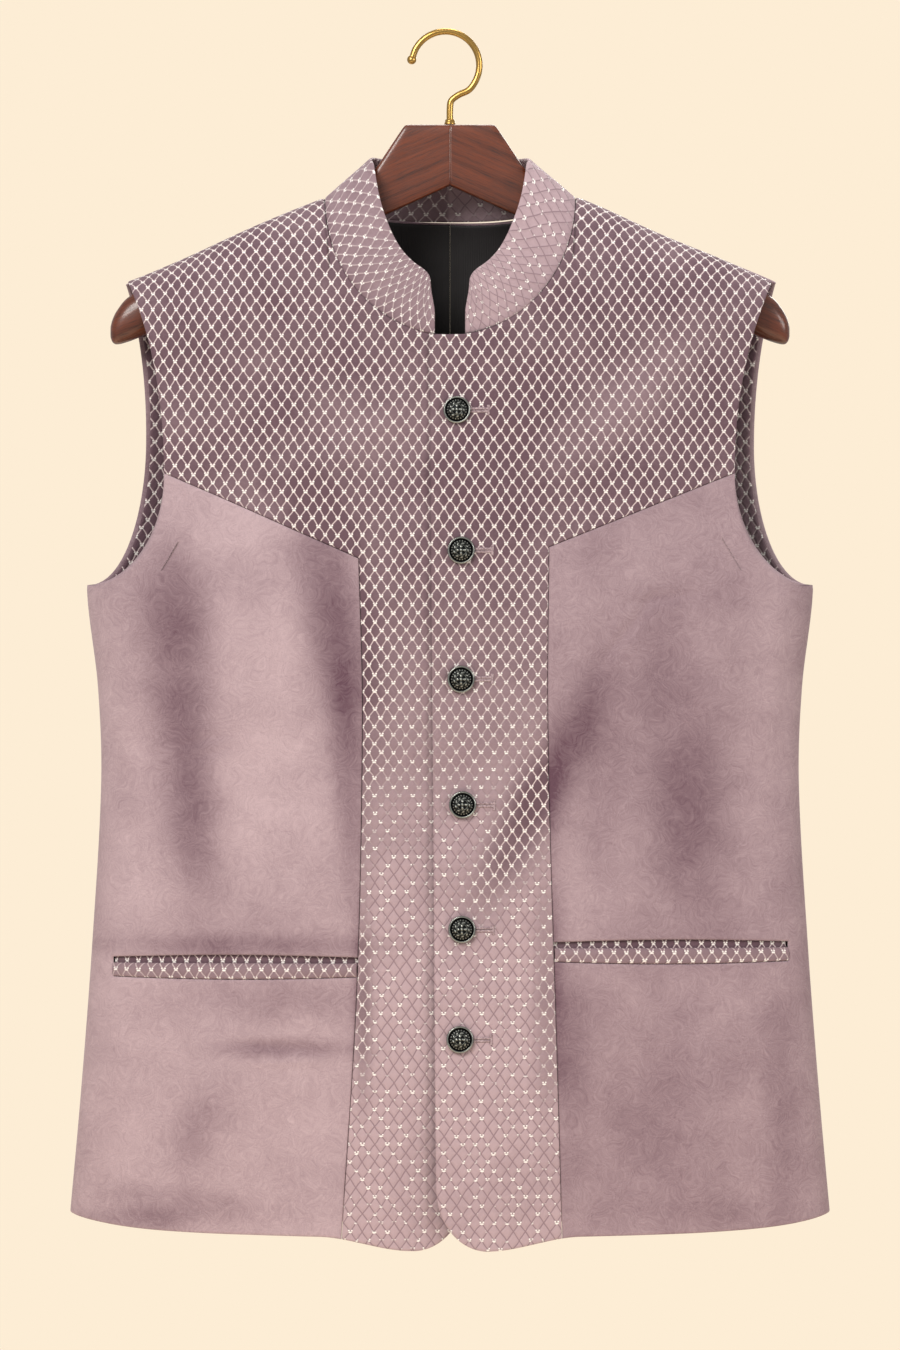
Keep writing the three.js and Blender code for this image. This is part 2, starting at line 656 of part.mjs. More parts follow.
// ---- collar ----------------------------------------------------------------------------------
// The band stands on the neckline. `round` runs from the front end (0) to the centre back (1).
function collarPoint(round, height, level) {
  const inFront = round < COLLAR_SIDE;
  const share = inFront
    ? mix(COLLAR_END, 1, round / COLLAR_SIDE)
    : 1 - (round - COLLAR_SIDE) / (1 - COLLAR_SIDE);
  const face = inFront ? "front" : "back";
  const [x, z] = necklineAt(face, share);
  const base = formPoint(face, turnOf(x, z), z, 0);
  const stance = (column) => tableAt(COLLAR_STANCE, "round", column, round);
  const lean = new THREE.Vector3(-stance("inward"), stance("backward"), stance("up")).normalize();
  return base.addScaledVector(lean, height).addScaledVector(collarIn(round), level);
}

// The direction through the band's wall, towards the neck.
function collarIn(round) {
  const angle = round * Math.PI;
  const flat = new THREE.Vector3(-Math.sin(angle), Math.cos(angle), 0);
  const stance = (column) => tableAt(COLLAR_STANCE, "round", column, round);
  const lean = new THREE.Vector3(-stance("inward"), stance("backward"), stance("up")).normalize();
  return flat.addScaledVector(lean, -flat.dot(lean)).normalize();
}

function collar() {
  const UP = 3;
  const stations = [
    ...FRONT_NECK.map((share) => share * COLLAR_SIDE),
    ...even(BACK_NECK.length - 1).slice(1).map((share) => mix(COLLAR_SIDE, 1, share)),
  ];
  const topOf = (round) => {
    const short = Math.max(0, 1 - (round * COLLAR.halfLength) / COLLAR.cornerLong);
    return COLLAR.height - COLLAR.cornerHigh * (1 - Math.sqrt(1 - short ** 2));
  };
  const columns = [
    ...stations.map((round) => ({ round, hand: -1 })),
    ...stations.slice(0, -1).reverse().map((round) => ({ round, hand: 1 })),
  ];
  const position = [];
  const START = 0.45; // clear of the neckline's edge
  for (const level of [0, COLLAR.thick])
    for (const { round, hand } of columns)
      for (let j = 0; j <= UP; j += 1) {
        const p = collarPoint(round, mix(START, topOf(round), j / UP), level);
        position.push(p.x * hand, p.y, p.z);
      }
  const count = columns.length * (UP + 1);
  const faces = [];
  const quad = (a, b, c, d) => faces.push(a, b, c, a, c, d);
  const at = (i, j) => i * (UP + 1) + j;
  for (let i = 0; i < columns.length - 1; i += 1) {
    for (let j = 0; j < UP; j += 1) {
      quad(at(i, j), at(i, j + 1), at(i + 1, j + 1), at(i + 1, j));
      quad(at(i, j) + count, at(i + 1, j) + count, at(i + 1, j + 1) + count, at(i, j + 1) + count);
    }
    quad(at(i, 0), at(i + 1, 0), at(i + 1, 0) + count, at(i, 0) + count);
    quad(at(i, UP), at(i, UP) + count, at(i + 1, UP) + count, at(i + 1, UP));
  }
  for (let j = 0; j < UP; j += 1) {
    const last = columns.length - 1;
    quad(at(0, j), at(0, j) + count, at(0, j + 1) + count, at(0, j + 1));
    quad(at(last, j), at(last, j + 1), at(last, j + 1) + count, at(last, j) + count);
  }
  const made = new THREE.BufferGeometry();
  made.setAttribute("position", new THREE.Float32BufferAttribute(position, 3));
  made.setIndex(faces);
  made.computeVertexNormals();
  add("collar", made, FIGURED());
}

// ---- buttons ---------------------------------------------------------------------------------
function button({ x, z }, number) {
  const place = placer("front", HANDS.left, LAPS.left);
  const spot = (dx, dz) => place(turnOf(x + dx, z + dz), z + dz, 0);
  const across = spot(5, 0).sub(spot(-5, 0));
  const upward = spot(0, 5).sub(spot(0, -5));
  const out = across.cross(upward).normalize();
  const profile = BUTTON_PROFILE.map(({ radius, rise }) => new THREE.Vector2(radius, rise));
  const mesh = add(`button_${number}`, new THREE.LatheGeometry(profile, BUTTON_SIDES), PEWTER());
  mesh.position.copy(spot(0, 0));
  mesh.quaternion.setFromUnitVectors(new THREE.Vector3(0, 1, 0), out);
}

// ---- hanger ----------------------------------------------------------------------------------
function hangerArm(side) {
  const hand = HANDS[side];
  const position = [];
  for (const { x, top, bottom, thick, square } of HANGER)
    for (let k = 0; k < HANGER_SIDES; k += 1) {
      const angle = ((k + 0.5) / HANGER_SIDES) * Math.PI * 2;
      const out = (v) => Math.sign(v) * Math.abs(v) ** (2 / square);
      const y = (thick / 2) * out(Math.cos(angle));
      const z = (top + bottom) / 2 + ((top - bottom) / 2) * out(Math.sin(angle));
      position.push(x * hand, y, z);
    }
  const faces = [];
  const triangle = (a, b, c) => faces.push(...(hand > 0 ? [a, c, b] : [a, b, c]));
  const n = HANGER_SIDES;
  const last = HANGER.length - 1;
  for (let i = 0; i < last; i += 1)
    for (let k = 0; k < n; k += 1) {
      const [a, b] = [i * n + k, i * n + ((k + 1) % n)];
      triangle(a, a + n, b + n);
      triangle(a, b + n, b);
    }
  for (let k = 1; k < n - 1; k += 1) {
    triangle(0, k, k + 1);
    triangle(last * n, last * n + k + 1, last * n + k);
  }
  const made = new THREE.BufferGeometry();
  made.setAttribute("position", new THREE.Float32BufferAttribute(position, 3));
  made.setIndex(faces);
  made.computeVertexNormals();
  add(`hanger_${side}_arm`, made, WOOD());
}

function solidOf(geometry) {
  const bare = geometry.clone();
  bare.deleteAttribute("normal");
  bare.deleteAttribute("uv");
  const merged = mergeVertices(bare, 1e-4);
  return new wasm.Manifold(
    new wasm.Mesh({
      numProp: 3,
      vertProperties: merged.attributes.position.array,
      triVerts: new Uint32Array(merged.index.array),
    }),
  );
}

function geometryOf(solid) {
  const mesh = solid.getMesh();
  const made = new THREE.BufferGeometry();
  made.setAttribute("position", new THREE.Float32BufferAttribute(mesh.vertProperties, 3));
  made.setIndex(Array.from(mesh.triVerts));
  made.computeVertexNormals();
  return made;
}

// A wire hook with a ball on its end. Its inner crown passes through the origin.
function hook() {
  const inner = HOOK.radius - HOOK.wire;
  const centreZ = -Math.sqrt(inner ** 2 - HOOK.centreX ** 2);
  const onArc = (degrees) => {
    const a = THREE.MathUtils.degToRad(degrees);
    return new THREE.Vector3(HOOK.centreX + HOOK.radius * Math.cos(a), 0, centreZ + HOOK.radius * Math.sin(a));
  };
  const plateTop = HANGER[0].top;
  const curve = new THREE.CatmullRomCurve3(
    [
      ...[168, 150, 130, 110, 90, 70, 50, 30, 10, -10, -30, -47].map(onArc),
      new THREE.Vector3(5.6, 0, centreZ - 19.6),
      new THREE.Vector3(0.9, 0, centreZ - 23.4),
      new THREE.Vector3(0, 0, centreZ - 28.5),
      new THREE.Vector3(0, 0, plateTop + SEAM_GAP),
    ],
    false,
    "centripetal",
  );
  const section = new THREE.Shape().absarc(0, 0, HOOK.wire, 0, Math.PI * 2);
  const wire = new THREE.ExtrudeGeometry(section, {
    steps: HOOK_STEPS,
    curveSegments: HOOK_SIDES / 2,
    extrudePath: curve,
    bevelEnabled: false,
  });
  const ball = new THREE.SphereGeometry(HOOK.ball, 12, 8).translate(...onArc(170).toArray());
  add("hook", geometryOf(solidOf(wire).add(solidOf(ball))), BRASS());
  const rim = HOOK.wire + SEAM_GAP;
  const ring = [
    [rim, 0],
    [FERRULE.radius, 0],
    [FERRULE.radius, FERRULE.height * 0.6],
    [rim + 0.5, FERRULE.height],
    [rim, FERRULE.height],
    [rim, 0],
  ].map(([r, h]) => new THREE.Vector2(r, h));
  const ferrule = add("hook_ferrule", new THREE.LatheGeometry(ring, 16), BRASS());
  ferrule.rotation.x = Math.PI / 2;
  ferrule.position.z = plateTop + SEAM_GAP;
}

for (const side of ["right", "left"]) {
  figuredFront(side);
  plainFront(side);
  pocketPieces(side);
  backPieces(side);
  hangerArm(side);
}
collar();
BUTTONS.forEach((spot, i) => button(spot, i + 1));
hook();

export default jacket;
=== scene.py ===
"""A sleeveless band-collared velvet jacket, buttoned and hung on a wooden hanger.

The jacket is one hollow form: a flattened ring at each level, closed over the shoulders by an
arch. Every panel is a patch of it, given by turn, which runs from 0 at the centre line to 1 at
the side seam, and height z. Sizes in tables are in millimetres, and Blender's are in metres.
"""

import math

import bmesh
import bpy
import numpy as np
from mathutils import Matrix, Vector, kdtree


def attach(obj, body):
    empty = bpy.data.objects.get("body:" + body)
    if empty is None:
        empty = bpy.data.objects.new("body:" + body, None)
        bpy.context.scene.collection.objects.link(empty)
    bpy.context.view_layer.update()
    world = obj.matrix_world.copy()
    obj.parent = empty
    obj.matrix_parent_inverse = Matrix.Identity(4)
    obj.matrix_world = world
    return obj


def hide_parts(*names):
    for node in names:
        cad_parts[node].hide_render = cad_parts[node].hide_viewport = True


bl_info = {
    "name": "Velvet band-collared jacket",
    "version": (1, 0, 0),
    "blender": (4, 5, 0),
    "location": "View3D > Sidebar > Jacket",
    "description": "Builds a sleeveless velvet jacket on its wooden hanger, piece by piece",
    "category": "Add Mesh",
}

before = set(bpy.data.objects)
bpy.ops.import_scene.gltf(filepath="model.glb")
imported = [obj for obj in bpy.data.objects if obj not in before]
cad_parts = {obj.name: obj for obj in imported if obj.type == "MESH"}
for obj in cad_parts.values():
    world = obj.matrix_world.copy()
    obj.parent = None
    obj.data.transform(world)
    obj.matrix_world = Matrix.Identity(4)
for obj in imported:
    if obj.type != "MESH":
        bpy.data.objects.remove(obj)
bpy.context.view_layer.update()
MM = 0.001

# ---- sizes of the form -----------------------------------------------------------------------
SEAM_GAP = 0.3
RING_POWER = 2.4
ARCH_POWER = 2.2
RINGS = [
    dict(z=-60, half=231, front=45, back=41),
    dict(z=-166, half=235, front=46, back=42),
    dict(z=-260, half=238, front=50, back=43),
    dict(z=-363, half=240, front=52, back=44),
    dict(z=-430, half=232.5, front=50, back=42),
    dict(z=-492, half=230.3, front=47, back=40),
    dict(z=-600, half=236.2, front=48, back=41),
    dict(z=-700, half=243.8, front=50, back=43),
    dict(z=-800, half=252.8, front=52, back=45),
]
NECK_X, NECK_Z, SLOPE, TIP_X = 83, -107.7, 0.4187, 215.5  # where the shoulder line runs
ROLL_NECK, ROLL_TIP = 95, 28  # height of the arch over the shoulder
NECK_DROP = dict(front=92, back=14)
UNDERARM_Z = -363
ARMHOLE = dict(
    front=dict(narrow_x=187.4, narrow_z=-289.9, tip_x=213.5),
    back=dict(narrow_x=202.5, narrow_z=-270, tip_x=215.5),
)
ARMHOLE_FLARE_POWER = 2.1
HEM_FRONT, HEM_BACK, HEM_SIDE, HEM_CORNER, HEM_CORNER_POWER = -791, -786, 7, 8, 10
HEM_DIP, HEM_DIP_FROM, HEM_DIP_TO = 8.5, 86, 26
LAP_EDGE_TOP, LAP_EDGE_HEM = 13.5, 9
LAP_CORNER_WIDE, LAP_CORNER_HIGH = 34, 41
LAP_CENTRE_TOP, LAP_CENTRE_HEM = 6.6, 0.6
PANEL_SEAMS = dict(
    right=[dict(z=-346, x=60.2), dict(z=-450, x=57.4), dict(z=-620, x=61), dict(z=-790, x=71.2)],
    left=[dict(z=-338.6, x=65.2), dict(z=-450, x=64.2), dict(z=-620, x=68.8), dict(z=-790, x=73.8)],
)
UNDERARM_LINE_Z = -405
POCKETS = dict(
    right=dict(top=-607.5, bottom=-620.5, outer=222),
    left=dict(top=-597.5, bottom=-610.5, outer=223),
)
POCKET_BOW = 1.6
FACING_WIDTH = 18
LINING_LEVELS = (3.2, 4.2)  # from the form's outer face to the lining's two faces
COLLAR_HIGH, COLLAR_CORNER_LONG, COLLAR_CORNER_HIGH, COLLAR_HALF_LENGTH = 40, 50, 27, 240
COLLAR_END_X, COLLAR_SIDE = 9.9, 0.6
COLLAR_STANCE = [
    dict(round=0, inward=0, backward=0.06, up=1),
    dict(round=0.095, inward=0.42, backward=0.05, up=0.9),
    dict(round=0.17, inward=0.62, backward=0.05, up=0.78),
    dict(round=0.28, inward=0.8, backward=0.05, up=0.6),
    dict(round=0.38, inward=0.88, backward=0.05, up=0.47),
    dict(round=0.49, inward=0.84, backward=0.04, up=0.53),
    dict(round=0.6, inward=0.79, backward=0, up=0.61),
    dict(round=0.8, inward=0.42, backward=-0.16, up=0.88),
    dict(round=1, inward=0, backward=-0.2, up=0.98),
]
BUTTONS = [(4.6, -249), (7.2, -340.8), (7.2, -425), (8.4, -507.4), (7.8, -589), (6.5, -661)]
HANDS = dict(right=-1, left=1)  # the wearer's; the left front laps over the right

# Soft troughs and ridges pressed into the hung cloth: where each runs, how wide it is, and how far
# it stands out (or in, if negative).
CREASES = [
    dict(x=-162, z=-465, long=26, wide=4, turn=12, rise=-0.9),
    dict(x=-158, z=-474, long=22, wide=3.5, turn=16, rise=-0.7),
    dict(x=-178, z=-440, long=120, wide=22, turn=86, rise=-2.2),
    dict(x=-76, z=-400, long=100, wide=15, turn=88, rise=-1.8),
    dict(x=-112, z=-666, long=44, wide=5, turn=-3, rise=-1.0),
    dict(x=-108, z=-676, long=36, wide=4, turn=2, rise=0.7),
    dict(x=118, z=-392, long=46, wide=6, turn=52, rise=-1.3),
    dict(x=140, z=-372, long=34, wide=6, turn=10, rise=-1.0),
    dict(x=99, z=-480, long=170, wide=16, turn=88, rise=-1.8),
    dict(x=146, z=-490, long=190, wide=24, turn=92, rise=-2.0),
    dict(x=212, z=-440, long=110, wide=14, turn=84, rise=1.4),
    dict(x=-214, z=-452, long=100, wide=14, turn=97, rise=1.2),
    dict(x=158, z=-715, long=120, wide=22, turn=94, rise=1.8),
    dict(x=-150, z=-715, long=110, wide=24, turn=88, rise=1.6),
    dict(x=-60, z=-270, long=60, wide=16, turn=35, rise=1.4),
    dict(x=42, z=-285, long=70, wide=16, turn=120, rise=-1.6),
    dict(x=120, z=-245, long=90, wide=18, turn=48, rise=1.6),
    dict(x=-150, z=-215, long=80, wide=18, turn=120, rise=1.2),
    dict(x=50, z=-525, long=70, wide=10, turn=66, rise=-1.2),
]

# The bright knot at each crossing: a bar, and a wedge on both sides above it, from their centres.
KNOT = [dict(x=0, z=-0.55, wide=1.35, high=0.62), dict(x=0.95, z=0.62, wide=0.62, high=0.6)]

# How the pile is brushed, from 0 for dark to 1 for light: soft patches, and how far each one
# darkens (or lightens, if negative). Many patches lie on the creases above, so besides the brushed
# pile they are painted shade in the troughs and painted light on the ridges.
NAP_AND_CREASE_SHADE = [
    dict(x=-176, z=-436, wide=17, high=78, turn=4, dark=0.75),
    dict(x=-188, z=-378, wide=22, high=26, turn=0, dark=0.35),
    dict(x=-168, z=-520, wide=14, high=66, turn=8, dark=0.36),
    dict(x=-74, z=-392, wide=17, high=62, turn=10, dark=0.95),
    dict(x=-66, z=-490, wide=9, high=70, turn=4, dark=0.6),
    dict(x=-112, z=-350, wide=34, high=15, turn=20, dark=0.3),
    dict(x=-135, z=-600, wide=70, high=6, turn=0, dark=0.6),
    dict(x=-112, z=-634, wide=44, high=12, turn=0, dark=0.5),
    dict(x=-109, z=-667, wide=32, high=5, turn=0, dark=0.7),
    dict(x=-108, z=-570, wide=24, high=26, turn=0, dark=0.25),
    dict(x=-205, z=-779, wide=30, high=6, turn=0, dark=0.6),
    dict(x=-172, z=-768, wide=42, high=8, turn=-6, dark=0.4),
    dict(x=-166, z=-720, wide=13, high=26, turn=-12, dark=0.4),
    dict(x=-120, z=-460, wide=24, high=80, turn=0, dark=-0.2),
    dict(x=99, z=-478, wide=12, high=95, turn=0, dark=0.3),
    dict(x=148, z=-470, wide=22, high=85, turn=6, dark=0.34),
    dict(x=158, z=-520, wide=15, high=32, turn=0, dark=0.34),
    dict(x=137, z=-712, wide=24, high=42, turn=-20, dark=0.3),
    dict(x=218, z=-706, wide=11, high=48, turn=0, dark=0.25),
    dict(x=80, z=-676, wide=8, high=44, turn=0, dark=0.4),
    dict(x=165, z=-775, wide=40, high=8, turn=0, dark=0.25),
    dict(x=92, z=-560, wide=18, high=42, turn=-8, dark=-0.35),
    dict(x=212, z=-420, wide=16, high=80, turn=0, dark=-0.25),
    dict(x=110, z=-366, wide=44, high=22, turn=20, dark=-0.2),
    dict(x=50, z=-516, wide=13, high=62, turn=-28, dark=1.1),
    dict(x=64, z=-630, wide=8, high=60, turn=0, dark=0.8),
    dict(x=-57, z=-640, wide=5, high=44, turn=0, dark=0.9),
    dict(x=-50, z=-268, wide=30, high=26, turn=20, dark=-0.35),
    dict(x=112, z=-246, wide=17, high=62, turn=-45, dark=-0.4),
    dict(x=34, z=-282, wide=30, high=40, turn=0, dark=0.25),
    dict(x=-120, z=-330, wide=50, high=20, turn=-20, dark=-0.22),
    dict(x=20, z=-760, wide=40, high=20, turn=0, dark=0.2),
]

NAP_AND_CREASE_SHADE_DEPTH = 0.6

# Sections of one hanger arm: its edges, its thickness and how square the section is.
HANGER = [
    dict(x=0.15, top=-59.4, bottom=-99.7, thick=16, square=9),
    dict(x=29.7, top=-59.4, bottom=-113, thick=16, square=9),
    dict(x=47, top=-85.3, bottom=-121, thick=16.6, square=6),
    dict(x=60, top=-102.5, bottom=-127, thick=17.5, square=3.6),
    dict(x=84, top=-118.5, bottom=-140.3, thick=18.5, square=2.8),
    dict(x=130, top=-137.7, bottom=-163.6, thick=20, square=2.5),
    dict(x=180, top=-158.6, bottom=-188, thick=21, square=2.4),
    dict(x=205, top=-169, bottom=-199.6, thick=21, square=2.4),
    dict(x=214, top=-174.5, bottom=-203, thick=19.5, square=2.3),
    dict(x=220.5, top=-183, bottom=-204.2, thick=16, square=2.3),
    dict(x=223, top=-188.5, bottom=-202.4, thick=11, square=2.2),
    dict(x=224, top=-192.5, bottom=-199.5, thick=5, square=2.2),
]
HOOK_WIRE, HOOK_RADIUS, HOOK_CENTRE_X, HOOK_BALL = 2.2, 22.4, -3, 3.1


class JacketSizes(bpy.types.PropertyGroup):
    """Real sizes that a maker would change."""

    cloth: bpy.props.FloatProperty(
        name="Cloth", description="Thickness of the velvet with its interlining", default=0.002, unit="LENGTH"
    )
    roll: bpy.props.FloatProperty(
        name="Edge roll", description="Radius that an edge rolls over", default=0.0017, unit="LENGTH"
    )
    lattice_wide: bpy.props.FloatProperty(
        name="Diamond width", description="Width of one woven diamond", default=0.0082, unit="LENGTH"
    )
    lattice_high: bpy.props.FloatProperty(
        name="Diamond height", description="Height of one woven diamond", default=0.0114, unit="LENGTH"
    )
    step: bpy.props.FloatProperty(
        name="Mesh step", description="Spacing of the panels' mesh lines", default=0.0026, unit="LENGTH"
    )
    button: bpy.props.FloatProperty(
        name="Button radius", description="Radius of a button over its rim", default=0.00895, unit="LENGTH"
    )


def linear(code):
    """An sRGB hex colour as linear red, green, blue and alpha."""
    parts = [int(code[i : i + 2], 16) / 255 for i in (1, 3, 5)]
    return [c / 12.92 if c <= 0.04045 else ((c + 0.055) / 1.055) ** 2.4 for c in parts] + [1.0]


def colour_setting(name, description, code):
    return bpy.props.FloatVectorProperty(
        name=name, description=description, default=linear(code)[:3], subtype="COLOR", size=3, min=0, max=1
    )


class JacketColours(bpy.types.PropertyGroup):
    """The finishes' main colours."""

    pile_dark: colour_setting("Pile against the light", "Velvet whose pile leans to the eye", "#664A57")
    pile_light: colour_setting("Pile with the light", "Velvet whose pile leans away", "#C4ACB2")
    ground_dark: colour_setting("Figured ground, dark", "Diamonds with the pile to the eye", "#69505A")
    ground_light: colour_setting("Figured ground, light", "Diamonds with the pile away", "#BCA3A9")
    thread: colour_setting("Figure thread", "The lattice's pale thread", "#E6D2D1")
    knot: colour_setting("Knot", "The bright crossings of the lattice", "#FFF8F4")
    satin: colour_setting("Satin", "The lining", "#232021")
    wood: colour_setting("Wood", "The hanger's wood between its pores", "#7A3A20")
    wood_dark: colour_setting("Wood, dark", "The hanger's late wood", "#3E190D")
    brass: colour_setting("Brass", "The hook", "#C9A15A")
    pewter: colour_setting("Pewter", "The buttons' raised metal", "#A9ABA6")
    backdrop: colour_setting("Backdrop", "Behind and around the jacket", "#FDEDD5")


# ---- reading tables and curves ----------------------------------------------------------------
def mix(a, b, share):
    return a + (b - a) * share


def smooth(value):
    value = np.clip(value, 0, 1)
    return value**2 * (3 - 2 * value)


def table_at(rows, key, column, at):
    """The smooth curve through a table's rows: the value of `column` at the place `at` of `key`."""
    keys = np.array([row[key] for row in rows], float)
    values = np.array([row[column] for row in rows], float)
    if keys[0] > keys[-1]:
        keys, values = keys[::-1], values[::-1]
    slopes = np.empty(len(keys))
    slopes[1:-1] = (values[2:] - values[:-2]) / (keys[2:] - keys[:-2])
    slopes[0] = (values[1] - values[0]) / (keys[1] - keys[0])
    slopes[-1] = (values[-1] - values[-2]) / (keys[-1] - keys[-2])
    i = np.clip(np.searchsorted(keys, at) - 1, 0, len(keys) - 2)
    span = keys[i + 1] - keys[i]
    s = np.clip((at - keys[i]) / span, 0, 1)
    ease = s * s * (3 - 2 * s)
    bend = slopes[i] * span * s * (1 - s) ** 2 - slopes[i + 1] * span * s * s * (1 - s)
    return mix(values[i], values[i + 1], ease) + bend


def path(xs, zs):
    """A line through points, read by its share of length."""
    xs, zs = np.asarray(xs, float), np.asarray(zs, float)
    at = np.concatenate([[0], np.cumsum(np.hypot(np.diff(xs), np.diff(zs)))])
    return lambda share: (np.interp(share, at / at[-1], xs), np.interp(share, at / at[-1], zs))


def line(a, b):
    return lambda share: (mix(a[0], b[0], share), mix(a[1], b[1], share))


def joined(*parts):
    """One line through the ends of several curves, each given as (xs, zs)."""
    return path(*(np.concatenate([np.atleast_1d(part[k]) for part in parts]) for k in (0, 1)))


def part_of(edge, start, end):
    return lambda share: edge(mix(start, end, share))


CLOSE_LINES = np.array([0.3, 0.7, 1.2, 1.9, 2.8])  # near an edge, so that it can roll over


def shares(length, step, start=False, end=False):
    """Even shares of a length, with close lines beside the ends that are edges of the cloth."""
    low = CLOSE_LINES[-1] if start else 0
    high = length - (CLOSE_LINES[-1] if end else 0)
    count = max(2, round((high - low) / step))
    inner = np.linspace(low, high, count + 1)
    before = np.concatenate([[0], CLOSE_LINES[:-1]]) if start else []
    after = length - np.concatenate([CLOSE_LINES[:-1][::-1], [0]]) if end else []
    return np.concatenate([before, inner, after]) / length


# ---- the form ---------------------------------------------------------------------------------
def half_width(z):
    return table_at(RINGS, "z", "half", z)


def ridge_z(x):
    return NECK_Z - (np.abs(x) - NECK_X) * SLOPE


def turn_of(x, z):
    return np.arcsin(np.clip(x / half_width(z), -1, 1)) / (math.pi / 2)


def roll_at(x):
    return mix(ROLL_NECK, ROLL_TIP, np.clip((np.abs(x) - NECK_X) / (TIP_X - NECK_X), 0, 1))


def arch(below):
    return (1 - (1 - below) ** ARCH_POWER) ** (1 / ARCH_POWER)


def ring_round(swing):
    return (1 - np.clip(np.abs(swing), 0, 1) ** RING_POWER) ** (1 / RING_POWER)


def form_point(face, turn, z, level):
    """Points of the form, `level` inside its outer face."""
    swing = np.sin(turn * math.pi / 2)
    half = half_width(z)
    x = half * swing
    below = np.clip((ridge_z(x) - z) / roll_at(x), 0, 1)
    y = (table_at(RINGS, "z", face, z) - level) * ring_round(swing) * arch(below) + SEAM_GAP / 2
    return np.stack([(half - level) * swing, -y if face == "front" else y, z - level * (1 - below)], -1)


SWINGS = np.sin(np.linspace(0, math.pi / 2, 200))
ARC_SHAPE = np.concatenate([[0], np.cumsum(np.hypot(np.diff(SWINGS), 0.2 * np.diff(ring_round(SWINGS))))])
ARCH_STEPS = np.linspace(0, 1, 40) ** 2


def flat_place(face, turn, z):
    """Where a point of the form lies on the cloth before it is hung: across and up."""
    swing = np.sin(turn * math.pi / 2)
    half = half_width(z)
    x = half * swing
    across = half * np.sign(swing) * np.interp(np.abs(swing), SWINGS, ARC_SHAPE)
    roll = roll_at(x)
    below = np.clip((ridge_z(x) - z) / roll, 0, 1)
    deep = table_at(RINGS, "z", face, z) * ring_round(swing)
    steps = mix(below[..., None], 1, ARCH_STEPS)
    lengths = np.hypot(np.diff(steps) * roll[..., None], np.diff(arch(steps)) * deep[..., None]).sum(-1)
    up = np.where(below < 1, ridge_z(x) - roll + lengths, z)
    return across, up


def armhole_at(face, place):
    """The armhole edge from the underarm (0) to its narrowest point (1) and the shoulder tip (2)."""
    place = np.asarray(place, float)
    hole = ARMHOLE[face]
    side = half_width(UNDERARM_Z)
    angle = np.minimum(place, 1) * math.pi / 2
    up = np.maximum(place - 1, 0)
    x = side - (side - hole["narrow_x"]) * np.sin(angle)
    z = hole["narrow_z"] - (hole["narrow_z"] - UNDERARM_Z) * np.cos(angle)
    x = np.where(place > 1, mix(hole["narrow_x"], hole["tip_x"], up**ARMHOLE_FLARE_POWER), x)
    z = np.where(place > 1, mix(hole["narrow_z"], ridge_z(hole["tip_x"]), up), z)
    return x, z


def neckline_at(face, share):
    """The neckline from the centre line (0) to the shoulder (1)."""
    angle = np.asarray(share, float) * math.pi / 2
    x = NECK_X * np.sin(angle)
    drop = np.cos(angle) if face == "front" else 1 - np.sin(angle) ** 3
    return x, NECK_Z - NECK_DROP[face] * drop


def hem_z(face, x):
    out = np.abs(x) / half_width(HEM_FRONT)
    side = HEM_SIDE * out**2 + HEM_CORNER * out**HEM_CORNER_POWER
    if face == "back":
        return HEM_BACK + side * (HEM_FRONT + HEM_SIDE + HEM_CORNER - HEM_BACK) / (HEM_SIDE + HEM_CORNER)
    return HEM_FRONT + side - HEM_DIP * smooth((HEM_DIP_FROM - np.abs(x)) / (HEM_DIP_FROM - HEM_DIP_TO))


def seam_x(side, z):
    return table_at(PANEL_SEAMS[side], "z", "x", z)


def growth(z):
    top = NECK_Z - NECK_DROP["front"]
    return np.clip((z - top) / (HEM_FRONT - top), 0, 1)


def lap(side, x, z):
    """How far the upper front lies out over the lower one where they lap, or the lower one in."""
    if side == "left":
        return mix(1.6, 4.2, growth(z) ** 2) * smooth((52 - x) / 36)
    return -mix(1.2, 4.5, growth(z) ** 2) * smooth((34 - x) / 36)


COLLAR_END = math.asin(COLLAR_END_X / NECK_X) / (math.pi / 2)


# ---- relief and nap ---------------------------------------------------------------------------
def patch_weight(row, x, z, wide, high):
    """A soft oval patch's strength at points, from 1 in its middle."""
    angle = math.radians(row["turn"])
    dx, dz = x - row["x"], z - row["z"]
    across = dx * math.cos(angle) + dz * math.sin(angle)
    along = -dx * math.sin(angle) + dz * math.cos(angle)
    return np.exp(-0.5 * ((across / wide) ** 2 + (along / high) ** 2) ** 1.3)


def front_relief(x, z):
    """How far a front stands out from the plain form."""
    rise = 0.7 * np.sin(x / 31 + 1.3) * np.sin(z / 67) + 0.5 * np.sin(x / 17 - z / 43)
    for row in CREASES:
        rise = rise + row["rise"] * patch_weight(row, x, z, row["long"] / 2, row["wide"] / 2)
    return rise


def lap_relief(x, z):
    """The upper front is drawn in at each button and springs out a little between them."""
    near = np.min([np.abs(z - at) for _, at in BUTTONS], axis=0)
    edge = smooth((40 - np.abs(x)) / 50)
    return edge * (smooth(near / 40) * 1.5 - 0.4)


def back_relief(x, z):
    return 0.9 * np.sin(x / 37 + 0.4) * np.sin(z / 81 + 1) + 0.5 * np.sin(x / 19 + z / 47)


# Brushed pile plus painted shade: the table's patches darken the crease troughs and lighten the ridges.
def nap_and_shade_at(x, z, base):
    nap = base + 0 * x
    for row in NAP_AND_CREASE_SHADE:
        nap = nap - NAP_AND_CREASE_SHADE_DEPTH * row["dark"] * patch_weight(row, x, z, row["wide"], row["high"])
    return nap


